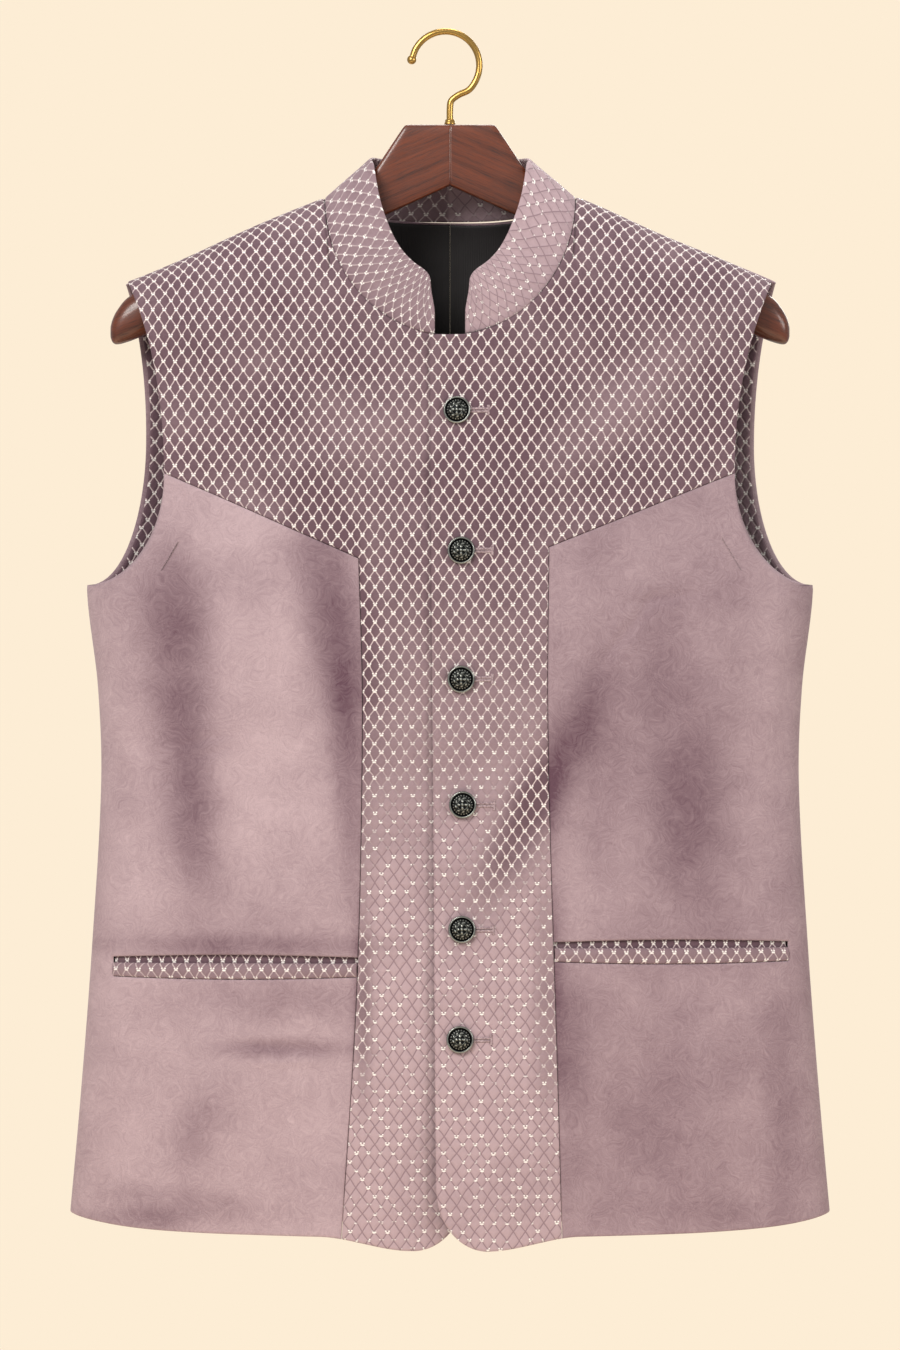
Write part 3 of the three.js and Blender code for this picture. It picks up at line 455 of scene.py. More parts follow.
# ---- meshes -----------------------------------------------------------------------------------
def solid(name, points, faces, finishes, **attributes):
    """A smooth-shaded object from points in millimetres, with values for each of its points."""
    mesh = bpy.data.meshes.new(name)
    mesh.from_pydata(np.asarray(points) * MM, [], faces)
    mesh.update()
    for key, values in attributes.items():
        kind, field = ("FLOAT_VECTOR", "vector") if np.ndim(values) == 2 else ("FLOAT", "value")
        made = mesh.attributes.new(key, kind, "POINT")
        made.data.foreach_set(field, np.ravel(values).astype(np.float32))
    mesh.polygons.foreach_set("use_smooth", np.ones(len(faces), bool))
    for finish in finishes:
        mesh.materials.append(material(finish))
    made = bpy.data.objects.new(name, mesh)
    bpy.context.scene.collection.objects.link(made)
    return made


# ---- cloth shells -----------------------------------------------------------------------------
class Panel:
    """A sheet of four-sided cells, made of blocks that share their edges."""

    def __init__(self):
        self.grids = []

    def block(self, south, east, north, west, across, up):
        """Fills the block between four edges. South and north run outwards, west and east up."""
        u, v = np.meshgrid(across, up)
        rows = []
        low, high = south(across), north(across)
        inner, outer = west(up), east(up)
        low, high, inner, outer = [(turn_of(*e), e[1] + 0 * e[0]) for e in (low, high, inner, outer)]
        for k in range(2):
            corners = mix(mix(low[k][0], low[k][-1], u), mix(high[k][0], high[k][-1], u), v)
            sides = mix(inner[k][:, None], outer[k][:, None], u)
            rows.append(mix(low[k][None, :], high[k][None, :], v) + sides - corners)
        self.grids.append(rows)
        return self

    def grid(self, a, b):
        """Adds a block that is already spread out in its two coordinates."""
        self.grids.append([a, b])
        return self

    def merged(self):
        """The blocks' points, joined where they meet, and the cells between them."""
        points = np.concatenate([np.stack([a.ravel(), b.ravel()], 1) for a, b in self.grids])
        keys = np.round(points * [1e5, 1e2]).astype(np.int64)
        _, first, index = np.unique(keys, axis=0, return_index=True, return_inverse=True)
        index = index.ravel()
        cells, start = [], 0
        for a, _ in self.grids:
            ids = index[start : start + a.size].reshape(a.shape)
            start += a.size
            corners = [ids[:-1, :-1], ids[:-1, 1:], ids[1:, 1:], ids[1:, :-1]]
            cells.append(np.stack(corners, -1).reshape(-1, 4))
        return points[first], np.concatenate(cells)


def rim_of(cells):
    """The directed edges that only one cell has."""
    edges = np.concatenate([cells[:, [k, (k + 1) % 4]] for k in range(4)])
    span = edges.max() + 1
    forward, backward = edges[:, 0] * span + edges[:, 1], edges[:, 1] * span + edges[:, 0]
    return edges[~np.isin(forward, backward)]


def edge_distance(flat, rim, reach=8.0):
    """How far each point is from the panel's edge, in millimetres along the cloth, up to `reach`."""
    a, b = flat[rim[:, 0]], flat[rim[:, 1]]
    count = np.maximum(1, np.ceil(np.hypot(*(b - a).T) / 0.4)).astype(int)
    shares_along = np.concatenate([np.arange(n) / n for n in count])
    spots = np.repeat(a, count, axis=0) + np.repeat(b - a, count, axis=0) * shares_along[:, None]
    tree = kdtree.KDTree(len(spots))
    for i, (u, v) in enumerate(spots):
        tree.insert((u, v, 0), i)
    tree.balance()
    far = [tree.find((u, v, 0))[2] for u, v in flat]
    return np.minimum(far, reach)


def shell(name, panel, place, flat_of, levels, relief, nap, hand, flip, finishes, roll=None):
    """A closed wall of cloth from a panel, with rolled edges. `place` gives points in millimetres
    from the panel's two coordinates and a level, and `flat_of` where they lie on the flat cloth."""
    sizes = bpy.context.scene.jacket_sizes
    coordinates, cells = panel.merged()
    a, b = coordinates.T
    flat = np.stack(flat_of(a, b), 1)
    rim = rim_of(cells)
    radius = (sizes.roll if roll is None else roll) / MM
    outer, inner = levels
    edge = np.clip(1 - edge_distance(flat, rim) / radius, 0, 1)
    drop = 0.46 * (inner - outer) * (1 - np.sqrt(1 - edge**2))
    count = len(a)
    points = np.concatenate([place(a, b, outer - relief + drop), place(a, b, inner - relief - drop)])
    points[:, 0] *= hand
    sides = np.stack([rim[:, 0], rim[:, 0] + count, rim[:, 1] + count, rim[:, 1]], 1)
    quads = np.concatenate([cells, cells[:, ::-1] + count, sides])
    if flip:
        quads = quads[:, ::-1]
    side = np.stack([flat[:, 0] * hand, flat[:, 1], np.zeros(count)], 1) * MM
    both_sides = {"weave": np.concatenate([side, side]), "nap": np.concatenate([nap, nap])}
    made = solid(name, points, quads.tolist(), finishes, **both_sides)
    if len(finishes) > 1:
        slots = np.zeros(len(quads), np.int32)
        slots[len(cells) : 2 * len(cells)] = 1
        made.data.polygons.foreach_set("material_index", slots)
    u, v = flat[cells].transpose(2, 1, 0)
    area = 0.5 * np.abs((u * np.roll(v, -1, 0) - np.roll(u, -1, 0) * v).sum(0)).sum()
    width, length = np.ptp(flat, axis=0)
    made["cut"] = [float(width * MM), float(length * MM), float(area * MM * MM)]
    return made


def sewn(made, node, strip=None):
    """Puts a cloth piece in its CAD solid's place and hides the solid. A `strip` is a curved piece of that
    width in millimetres, so its length is taken along its middle, but the sizes are not kept."""
    width, length, area = made["cut"]
    if strip:
        width, length = strip * MM, area / (strip * MM)
        area = width * length
    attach(made, "root")
    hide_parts(node)


def form_place(face, side=None):
    def place(turn, z, level):
        points = form_point(face, turn, z, level)
        if side:
            points[:, 1] -= lap(side, points[:, 0], z)
        return points

    return place


def spots_of(panel):
    """A panel's points as x and z on the form, for the hand whose x is positive."""
    turn, z = panel.merged()[0].T
    return half_width(z) * np.sin(turn * math.pi / 2), z


def flipped(face, hand):
    return (face == "front") != (hand > 0)


# ---- materials --------------------------------------------------------------------------------
MATH, RAMP, NOISE, MAPPING = "ShaderNodeMath", "ShaderNodeValToRGB", "ShaderNodeTexNoise", "ShaderNodeMapping"
VECTOR_MATH, ATTRIBUTE, MIX = "ShaderNodeVectorMath", "ShaderNodeAttribute", "ShaderNodeMix"
RANGE, BUMP = "ShaderNodeMapRange", "ShaderNodeBump"
MIX_A, MIX_B, MIX_RESULT = 6, 7, 2  # a mix node's colour sockets


def put(tree, kind, inputs=(), stops=(), **settings):
    """Adds a node with its settings, and sets or links its inputs, given by name or in order. A
    node stands for its first output. `stops` are a ramp's (place, linear colour) pairs."""
    node = tree.nodes.new(kind)
    for key, value in settings.items():
        setattr(node, key, value)
    for _ in stops[2:]:
        node.color_ramp.elements.new(0.5)
    for element, (at, colour) in zip(node.color_ramp.elements if stops else (), stops):
        element.position = at
        element.color = list(colour)[:3] + [1]
    pairs = inputs.items() if isinstance(inputs, dict) else enumerate(inputs)
    for key, value in pairs:
        if isinstance(value, bpy.types.Node):
            value = value.outputs[0]
        if isinstance(value, bpy.types.NodeSocket):
            tree.links.new(value, node.inputs[key])
        else:
            node.inputs[key].default_value = value
    return node


def surface(name, **constants):
    """A new material with its shader's constants set on its own sockets."""
    material = bpy.data.materials.new(name)
    material.use_nodes = True
    tree = material.node_tree
    tree.nodes.clear()
    shader = put(tree, "ShaderNodeBsdfPrincipled", constants)
    put(tree, "ShaderNodeOutputMaterial", {"Surface": shader})
    return material, tree, shader


def brushed_nap_and_shade(tree, weave, streak_strength):
    """The pile's lean together with the painted shade it carries, 0 dark to 1 light, broken up by soft clouds
    and by fibres that lie in tufts.
    """
    nap = put(tree, ATTRIBUTE, attribute_name="nap")
    # Clouds about 40 mm across, from handling.
    clouds = put(tree, NOISE, {"Vector": weave, "Scale": 26, "Detail": 4, "Roughness": 0.55})
    # Tufts about 6 mm long and 1 mm across; real fibres are too fine to show.
    bend = put(tree, NOISE, {"Vector": weave, "Scale": 60, "Detail": 1})
    swirl = put(tree, VECTOR_MATH, {0: bend.outputs["Color"], 1: (0.035, 0.035, 0)}, operation="MULTIPLY")
    moved = put(tree, VECTOR_MATH, {0: weave, 1: swirl}, operation="ADD")
    stretched = put(tree, MAPPING, {"Vector": moved, "Scale": (160, 620, 1), "Rotation": (0, 0, 0.5)})
    tufts = put(tree, NOISE, {"Vector": stretched, "Scale": 1, "Detail": 3, "Roughness": 0.6})
    crossed = put(tree, MAPPING, {"Vector": moved, "Scale": (560, 150, 1), "Rotation": (0, 0, -0.4)})
    tufts_2 = put(tree, NOISE, {"Vector": crossed, "Scale": 1, "Detail": 3, "Roughness": 0.6})
    both = put(tree, MATH, (tufts.outputs[0], tufts_2.outputs[0]), operation="ADD")
    fibres = put(tree, MATH, (both, streak_strength, -streak_strength), operation="MULTIPLY_ADD")
    cloudy = put(tree, MATH, (clouds.outputs[0], 0.5, -0.25), operation="MULTIPLY_ADD")
    total = put(tree, MATH, (nap.outputs["Fac"], cloudy), operation="ADD")
    return put(tree, MATH, (total, fibres), operation="ADD"), both


def colour_of(name):
    return list(getattr(bpy.context.scene.jacket_colours, name)) + [1.0]


def plain_velvet():
    """Crushed silk-and-viscose velvet: short dense pile, matt, light or dark by how it was brushed, and
    darker where shade is painted in its creases.
    """
    material, tree, shader = surface("plain_crushed_velvet", **{
        "Roughness": 0.85, "Specular IOR Level": 0.15, "Sheen Weight": 0.22, "Sheen Roughness": 0.45,
        "Sheen Tint": (0.95, 0.86, 0.9, 1),
    })
    weave = put(tree, ATTRIBUTE, attribute_name="weave").outputs["Vector"]
    nap, fibres = brushed_nap_and_shade(tree, weave, 0.42)
    dark, light = colour_of("pile_dark"), colour_of("pile_light")
    middle = [mix(d, l, 0.42) for d, l in zip(dark, light)]
    pile = put(tree, RAMP, {"Fac": nap}, stops=[(0.0, dark), (0.45, middle), (1.0, light)])
    # Ground weave under the pile, drawn at 0.9 mm because the real 0.3 mm is too fine to show.
    grain = put(tree, NOISE, {"Vector": weave, "Scale": 1100, "Detail": 2})
    speckled = put(tree, MATH, (grain.outputs[0], 0.3, 0.85), operation="MULTIPLY_ADD")
    tinted = put(tree, VECTOR_MATH, {0: pile.outputs["Color"], "Scale": speckled}, operation="SCALE")
    tree.links.new(tinted.outputs[0], shader.inputs["Base Color"])
    height = put(tree, MATH, (fibres, 0.5, grain.outputs[0]), operation="MULTIPLY_ADD")
    bump = put(tree, BUMP, {"Height": height, "Strength": 0.35, "Distance": 0.0006})
    tree.links.new(bump.outputs[0], shader.inputs["Normal"])
    return material


def figured_velvet():
    """Velvet with a small woven diamond lattice in a pale lustrous thread that knots at each crossing."""
    sizes = bpy.context.scene.jacket_sizes
    material, tree, shader = surface("figured_diamond_velvet", **{
        "Specular IOR Level": 0.3, "Sheen Weight": 0.18, "Sheen Roughness": 0.45,
        "Sheen Tint": (0.95, 0.86, 0.9, 1),
    })
    weave = put(tree, ATTRIBUTE, attribute_name="weave").outputs["Vector"]
    nap, fibres = brushed_nap_and_shade(tree, weave, 0.16)
    # The threads wander by about 0.4 mm over 12 mm, as a soft pile lets them.
    wander = put(tree, NOISE, {"Vector": weave, "Scale": 85, "Detail": 1})
    centred = put(tree, VECTOR_MATH, {0: wander.outputs["Color"], 1: (0.5, 0.5, 0.5)}, operation="SUBTRACT")
    shift = put(tree, VECTOR_MATH, {0: centred, "Scale": 0.0022}, operation="SCALE")
    moved = put(tree, VECTOR_MATH, {0: weave, 1: shift}, operation="ADD")
    split = put(tree, "ShaderNodeSeparateXYZ", {0: moved})
    across = put(tree, MATH, (split.outputs[0], sizes.lattice_wide), operation="DIVIDE")
    up = put(tree, MATH, (split.outputs[1], sizes.lattice_high), operation="DIVIDE")
    offsets, near = [], []
    for operation in ("ADD", "SUBTRACT"):
        diagonal = put(tree, MATH, (across, up), operation=operation)
        shifted = put(tree, MATH, (diagonal, 0.5), operation="ADD")
        whole = put(tree, MATH, (shifted,), operation="FLOOR")
        offset = put(tree, MATH, (diagonal, whole), operation="SUBTRACT")
        offsets.append(offset)
        near.append(put(tree, MATH, (offset,), operation="ABSOLUTE"))
    nearest = put(tree, MATH, (*near,), operation="MINIMUM")
    # Half a thread is 0.3 mm, as a share of the diagonals' 6.7 mm spacing.
    falling = {"To Min": 1, "To Max": 0}
    eased = dict(interpolation_type="SMOOTHSTEP")
    thread_edge = {"Value": nearest, "From Min": 0.034, "From Max": 0.078, **falling}
    thread = put(tree, RANGE, thread_edge, **eased)
    # From a crossing, in millimetres: half the offsets' sum and difference times the diamond.
    total = put(tree, MATH, offsets, operation="ADD")
    difference = put(tree, MATH, offsets, operation="SUBTRACT")
    right = put(tree, MATH, (total, sizes.lattice_wide / MM / 2), operation="MULTIPLY")
    over = put(tree, MATH, (difference, sizes.lattice_high / MM / 2), operation="MULTIPLY")
    knots = []
    for row in KNOT:
        side = put(tree, MATH, (right,), operation="ABSOLUTE") if row["x"] else right
        squares = []
        for place, centre, size in ((side, row["x"], row["wide"]), (over, row["z"], row["high"])):
            offset = put(tree, MATH, (place, centre), operation="SUBTRACT")
            scaled = put(tree, MATH, (offset, size), operation="DIVIDE")
            squares.append(put(tree, MATH, (scaled, scaled), operation="MULTIPLY"))
        away = put(tree, MATH, squares, operation="ADD")
        knot_edge = {"Value": away, "From Min": 0.45, "From Max": 1.3, **falling}
        knots.append(put(tree, RANGE, knot_edge, **eased))
    knot = put(tree, MATH, knots, operation="MAXIMUM")
    # Where the pile lies light it covers many of the knots.
    cell = put(tree, NOISE, {"Vector": weave, "Scale": 130, "Detail": 0})
    worn = put(tree, RANGE, {"Value": cell.outputs[0], "From Min": 0.48, "From Max": 0.56})
    buried = put(tree, RANGE, {"Value": nap, "From Min": 0.35, "From Max": 0.85})
    covered = put(tree, MATH, (1.0, worn), operation="SUBTRACT")
    hidden = put(tree, MATH, (buried, covered), operation="MULTIPLY")
    shown = put(tree, MATH, (1.0, hidden), operation="SUBTRACT")
    knot = put(tree, MATH, (knot, shown), operation="MULTIPLY")

    dark, light = colour_of("ground_dark"), colour_of("ground_light")
    ground_middle = [mix(d, l, 0.45) for d, l in zip(dark, light)]
    # The ramp also turns the painted shade in the nap value into darker ground.
    ground = put(tree, RAMP, {"Fac": nap}, stops=[(0.05, dark), (0.5, ground_middle), (1.0, light)])
    thread_pale = colour_of("thread")
    thread_shaded = [mix(d, l, 0.3) for d, l in zip(dark, light)]
    thread_middle = [mix(a, b, 0.5) for a, b in zip(thread_pale, thread_shaded)]
    thread_stops = [(0.1, thread_pale), (0.5, thread_middle), (0.8, thread_shaded)]
    thread_colour = put(tree, RAMP, {"Fac": nap}, stops=thread_stops)
    thread_show = put(tree, MATH, (thread, 0.8), operation="MULTIPLY")
    laced = put(
        tree, MIX, {"Factor": thread_show, MIX_A: ground, MIX_B: thread_colour}, data_type="RGBA"
    )
    knotted = put(
        tree, MIX, {"Factor": knot, MIX_A: laced.outputs[MIX_RESULT], MIX_B: colour_of("knot")},
        data_type="RGBA",
    )
    tree.links.new(knotted.outputs[MIX_RESULT], shader.inputs["Base Color"])
    figure = put(tree, MATH, (knot, thread), operation="MAXIMUM")
    rough = put(tree, RANGE, {"Value": figure, "To Min": 0.8, "To Max": 0.38})
    tree.links.new(rough.outputs[0], shader.inputs["Roughness"])
    # The lattice is sunk between pillows of pile, and a knot stands up in it.
    pillow = put(tree, RANGE, {"Value": nearest, "From Min": 0.0, "From Max": 0.3}, **eased)
    height = put(tree, MATH, (put(tree, MATH, (knot, 1.1), operation="MULTIPLY"), pillow), operation="ADD")
    height = put(tree, MATH, (fibres, 0.25, height), operation="MULTIPLY_ADD")
    bump = put(tree, BUMP, {"Height": height, "Strength": 0.55, "Distance": 0.0007})
    tree.links.new(bump.outputs[0], shader.inputs["Normal"])
    return material


def lining_satin():
    """Black acetate satin: smooth, with a soft broad gloss along its warp."""
    material, tree, shader = surface("black_acetate_satin", **{
        "Base Color": colour_of("satin"), "Specular IOR Level": 0.35, "Sheen Weight": 0.08,
    })
    weave = put(tree, ATTRIBUTE, attribute_name="weave").outputs["Vector"]
    waves = put(tree, NOISE, {"Vector": weave, "Scale": 45, "Detail": 2})
    rough = put(tree, RANGE, {"Value": waves.outputs[0], "To Min": 0.42, "To Max": 0.62})
    tree.links.new(rough.outputs[0], shader.inputs["Roughness"])
    # Threads drawn at 0.8 mm; real satin's are 0.1 mm.
    twill = put(tree, "ShaderNodeTexWave", {"Vector": weave, "Scale": 200, "Distortion": 1.5, "Detail": 1})
    height = put(tree, MATH, (waves.outputs[0], 6.0, twill.outputs["Fac"]), operation="MULTIPLY_ADD")
    bump = put(tree, BUMP, {"Height": height, "Strength": 0.2, "Distance": 0.0004})
    tree.links.new(bump.outputs[0], shader.inputs["Normal"])
    return material


def varnished_wood():
    """Walnut-stained hardwood, turned and sanded, under a clear satin varnish."""
    material, tree, shader = surface("varnished_hardwood", **{
        "Specular IOR Level": 0.5, "Coat Weight": 0.55, "Coat Roughness": 0.16, "IOR": 1.5,
    })
    grain = put(tree, ATTRIBUTE, attribute_name="grain").outputs["Vector"]
    # Rings cut lengthwise: bands 3 to 6 mm apart that drift along the arm.
    drift = put(tree, MAPPING, {"Vector": grain, "Scale": (9, 260, 60)})
    rings = put(tree, NOISE, {"Vector": drift, "Scale": 1, "Detail": 3, "Roughness": 0.55, "Distortion": 0.6})
    # Pores: dark dashes 8 mm long and 0.5 mm wide.
    fine = put(tree, MAPPING, {"Vector": grain, "Scale": (110, 1900, 600)})
    pores = put(tree, NOISE, {"Vector": fine, "Scale": 1, "Detail": 2, "Roughness": 0.6})
    pored = put(tree, RANGE, {"Value": pores.outputs[0], "From Min": 0.35, "From Max": 0.55})
    ringed = put(tree, MATH, (rings, 1.5, -0.45), operation="MULTIPLY_ADD")
    tone = put(tree, MATH, (pored, 0.35, ringed), operation="MULTIPLY_ADD")
    dark, light = colour_of("wood_dark"), colour_of("wood")
    middle = [mix(d, l, 0.6) for d, l in zip(dark, light)]
    colour = put(tree, RAMP, {"Fac": tone}, stops=[(0.1, dark), (0.55, middle), (0.95, light)])
    tree.links.new(colour.outputs["Color"], shader.inputs["Base Color"])
    rough = put(tree, RANGE, {"Value": pored, "To Min": 0.5, "To Max": 0.34})
    tree.links.new(rough.outputs[0], shader.inputs["Roughness"])
    bump = put(tree, BUMP, {"Height": pored, "Strength": 0.12, "Distance": 0.0002})
    tree.links.new(bump.outputs[0], shader.inputs["Normal"])
    return material


def brass_wire():
    """Drawn brass wire, lacquered: warm, with a soft streak of light along it."""
    material, tree, shader = surface("lacquered_brass", **{"Metallic": 1.0, "Base Color": colour_of("brass")})
    place = put(tree, "ShaderNodeTexCoord").outputs["Object"]
    tarnish = put(tree, NOISE, {"Vector": place, "Scale": 160, "Detail": 3})
    rough = put(tree, RANGE, {"Value": tarnish.outputs[0], "To Min": 0.2, "To Max": 0.36})
    tree.links.new(rough.outputs[0], shader.inputs["Roughness"])
    return material


def antique_button_metal():
    """Cast pewter, blackened and then rubbed, so it is bright where it is raised and black in its dips."""
    material, tree, shader = surface("blackened_pewter", **{"Metallic": 1.0})
    worn = put(tree, ATTRIBUTE, attribute_name="worn")
    bright = colour_of("pewter")
    colour = put(tree, RAMP, {"Fac": worn.outputs["Fac"]}, stops=[
        (0.1, linear("#15171A")), (0.5, linear("#50534F")), (0.9, bright),
    ])
    tree.links.new(colour.outputs["Color"], shader.inputs["Base Color"])
    rough = put(tree, RANGE, {"Value": worn.outputs["Fac"], "To Min": 0.5, "To Max": 0.24})
    tree.links.new(rough.outputs[0], shader.inputs["Roughness"])
    return material


def buttonhole_thread():
    """Mercerised cotton buttonhole twist in a mauve that matches the cloth."""
    material, tree, shader = surface("buttonhole_twist", **{"Roughness": 0.6, "Sheen Weight": 0.1})
    place = put(tree, "ShaderNodeTexCoord").outputs["Object"]
    ply = put(tree, NOISE, {"Vector": place, "Scale": 900, "Detail": 1})
    thread = [(0.3, linear("#8E747C")), (0.7, linear("#CDB8BC"))]
    colour = put(tree, RAMP, {"Fac": ply}, stops=thread)
    tree.links.new(colour.outputs["Color"], shader.inputs["Base Color"])
    return material


MAKERS = dict(
    plain=plain_velvet, figured=figured_velvet, satin=lining_satin, wood=varnished_wood,
    brass=brass_wire, pewter=antique_button_metal, twist=buttonhole_thread,
)
MADE = {}


def material(name):
    if name not in MADE:
        MADE[name] = MAKERS[name]()
    return MADE[name]


# ---- fronts -----------------------------------------------------------------------------------
def front_edge(side):
    """The front's free edge and hem corner: the edge upwards, the hem's start, and x at a height."""

    def edge_x(z):
        top = NECK_Z - NECK_DROP["front"]
        x = -mix(LAP_EDGE_TOP, LAP_EDGE_HEM, np.clip((z - top) / (HEM_FRONT - top), 0, 1))
        return x - (0 if side == "left" else 2 * mix(LAP_CENTRE_TOP, LAP_CENTRE_HEM, growth(z) ** 3))

    centre_x = edge_x(HEM_FRONT) + LAP_CORNER_WIDE
    centre_z = hem_z("front", 0.0) + LAP_CORNER_HIGH
    turn = math.pi * 0.27
    neck_z = PANEL_SEAMS[side][0]["z"]

    def arc(a):
        return centre_x - LAP_CORNER_WIDE * np.cos(a), centre_z - LAP_CORNER_HIGH * np.sin(a)

    rise = np.linspace(centre_z + 1, neck_z, 60)
    up = joined(arc(np.linspace(turn, 0, 40)), (edge_x(rise), rise))
    return up, arc(np.linspace(turn, math.pi / 2, 40)), edge_x


def figured_front(side):
    step = bpy.context.scene.jacket_sizes.step / MM
    hand, half = HANDS[side], SEAM_GAP / 2
    up, hem_start, edge_x = front_edge(side)
    corner_z = PANEL_SEAMS[side][0]["z"]
    hem_x = seam_x(side, HEM_FRONT) - half
    hem_rest = np.linspace(hem_start[0][-1] + 2, hem_x, 40)
    hem = joined(hem_start, (hem_rest, hem_z("front", hem_rest)))
    corner = (seam_x(side, corner_z) - half, corner_z)
    hem_end = hem_z("front", hem_x)

    def seam(share):
        z = mix(hem_end, corner_z, share)
        return seam_x(side, z) - half, z

    top = line((edge_x(corner_z), corner_z), corner)
    end_x, end_z = armhole_at("front", 1)
    yoke_end = (float(end_x), float(end_z) + half)
    neck_edge_z = float(neckline_at("front", 0)[1])
    neck_edge = (float(edge_x(neck_edge_z)), neck_edge_z)
    collar_end = neckline_at("front", COLLAR_END)
    LAP_SHARE = 1 / 6

    def neck(share):
        out = np.clip((share - LAP_SHARE) / (1 - LAP_SHARE), 0, 1) ** 1.3
        x, z = neckline_at("front", mix(COLLAR_END, 1, out))
        inner = np.clip(share / LAP_SHARE, 0, 1)
        lapped = share < LAP_SHARE
        return (
            np.where(lapped, mix(neck_edge[0], collar_end[0], inner), x),
            np.where(lapped, mix(neck_edge[1], collar_end[1], inner), z),
        )

    neck_point = tuple(float(v) for v in neckline_at("front", 1))
    tip_x = ARMHOLE["front"]["tip_x"]
    rise = line(corner, neck_point)
    columns = shares(84, step * 0.8, start=True, end=True)
    arm_columns = shares(140, step, end=True)
    strip_rows = shares(450, step, start=True)
    yoke_rows = 1 - (1 - shares(200, step, start=True)) ** 1.5
    arm = armhole_at("front", np.linspace(1, 2, 60))
    panel = (
        Panel()
        .block(hem, seam, top, up, columns, strip_rows)
        .block(top, rise, neck, line((edge_x(corner_z), corner_z), neck_edge), columns, yoke_rows)
        .block(
            line(corner, yoke_end),
            joined(([yoke_end[0]], [yoke_end[1]]), (arm[0][1:], arm[1][1:])),
            line(neck_point, (tip_x, float(ridge_z(tip_x)))),
            rise,
            arm_columns,
            yoke_rows,
        )
    )
    x, z = spots_of(panel)
    relief = front_relief(x * hand, z) + (lap_relief(x, z) if side == "left" else 0)
    # The pile is brushed down to the hem: the figure is dark at the yoke and light lower down.
    base = 0.12 + 0.88 * smooth((-z - 300) / 330)
    made = shell(
        f"{side}_front_figured", panel, form_place("front", side), lambda a, b: flat_place("front", a, b),
        (0, 2), settle(relief, x, z), nap_and_shade_at(x * hand, z, base), hand, flipped("front", hand),
        ["figured", "satin"],
    )
    sewn(made, f"{side}_front_figured")


def settle(relief, x, z):
    """Keeps the relief from opening the seams and the armhole: it dies away towards the side."""
    half = half_width(z)
    return relief * smooth((half - np.abs(x)) / 26)


def pocket_line(side, which, x):
    pocket = POCKETS[side]
    start = seam_x(side, pocket[which])
    span = np.clip((x - start) / (pocket["outer"] - start), 0, 1)
    bow = POCKET_BOW * np.sin(math.pi * span)
    return x, pocket[which] + (bow if which == "top" else -bow)


def plain_front(side):
    step = bpy.context.scene.jacket_sizes.step / MM
    hand, half = HANDS[side], SEAM_GAP / 2
    pocket = POCKETS[side]
    corner_z = PANEL_SEAMS[side][0]["z"]

    def seam(start, end):
        def run(share):
            z = mix(start, end, share)
            return seam_x(side, z) + half, z

        return run

    def rim(start, end):
        z = np.linspace(start, end, 60)
        return path(half_width(z), z)

    corner = (float(seam_x(side, corner_z)) + half, corner_z - half)
    end_x, end_z = (float(v) for v in armhole_at("front", 1))
    yoke = line(corner, (end_x, end_z - half))
    inner_share = 0.78
    hem_inner = float(seam_x(side, HEM_FRONT)) + half
    hem_middle = pocket["outer"] + 8
    hem_side = float(half_width(hem_z("front", half_width(HEM_FRONT))))

    def hem(start, end):
        x = np.linspace(start, end, 60)
        return path(x, hem_z("front", x))

    def lip(which):
        x = np.linspace(float(seam_x(side, pocket[which])) + half, pocket["outer"], 60)
        return path(*pocket_line(side, which, x))

    def beyond(which):
        return line((pocket["outer"], pocket[which]), (float(half_width(pocket[which])), pocket[which]))

    mid = {which: (pocket["outer"], pocket[which]) for which in ("bottom", "top")}
    hem_mid = (hem_middle, float(hem_z("front", hem_middle)))
    line_in = (float(seam_x(side, UNDERARM_LINE_Z)) + half, UNDERARM_LINE_Z)
    line_out = (float(half_width(UNDERARM_Z)), UNDERARM_Z)
    under = line(line_in, line_out)
    line_mid = under(inner_share)
    yoke_mid = yoke(inner_share)
    arm = armhole_at("front", np.linspace(0, 1, 60))
    arm = (arm[0], np.append(arm[1][:-1], arm[1][-1] - half))
    inner = shares(160, step, start=True)
    outer = shares(30, step * 0.7, end=True)
    low = shares(175, step, start=True, end=True)
    middle = shares(200, step, start=True)
    high = shares(75, step, end=True)
    slit = shares(13, 2.6)

    def seam_to_yoke(share):
        z = mix(UNDERARM_LINE_Z, corner_z - half, share)
        return seam_x(side, z) + half, z

    panel = (
        Panel()
        .block(hem(hem_inner, hem_middle), line(hem_mid, mid["bottom"]), lip("bottom"),
               seam(float(hem_z("front", hem_inner)), pocket["bottom"]), inner, low)
        .block(hem(hem_middle, hem_side), rim(float(hem_z("front", hem_side)), pocket["bottom"]),
               beyond("bottom"), line(hem_mid, mid["bottom"]), outer, low)
        .block(beyond("bottom"), rim(pocket["bottom"], pocket["top"]), beyond("top"),
               line(mid["bottom"], mid["top"]), outer, slit)
        .block(lip("top"), line(mid["top"], line_mid), part_of(under, 0, inner_share),
               seam(pocket["top"], UNDERARM_LINE_Z), inner, middle)
        .block(beyond("top"), rim(pocket["top"], UNDERARM_Z), part_of(under, inner_share, 1),
               line(mid["top"], line_mid), outer, middle)
        .block(part_of(under, 0, inner_share), line(line_mid, yoke_mid), part_of(yoke, 0, inner_share),
               seam_to_yoke, inner, high)
        .block(part_of(under, inner_share, 1), path(*arm), part_of(yoke, inner_share, 1),
               line(line_mid, yoke_mid), outer, high)
    )
    x, z = spots_of(panel)
    base = 0.8 if side == "right" else 0.58
    made = shell(
        f"{side}_front_plain", panel, form_place("front", side), lambda a, b: flat_place("front", a, b),
        (0, 2), settle(front_relief(x * hand, z), x, z), nap_and_shade_at(x * hand, z, base), hand,
        flipped("front", hand), ["plain", "satin"],
    )
    sewn(made, f"{side}_front_plain")


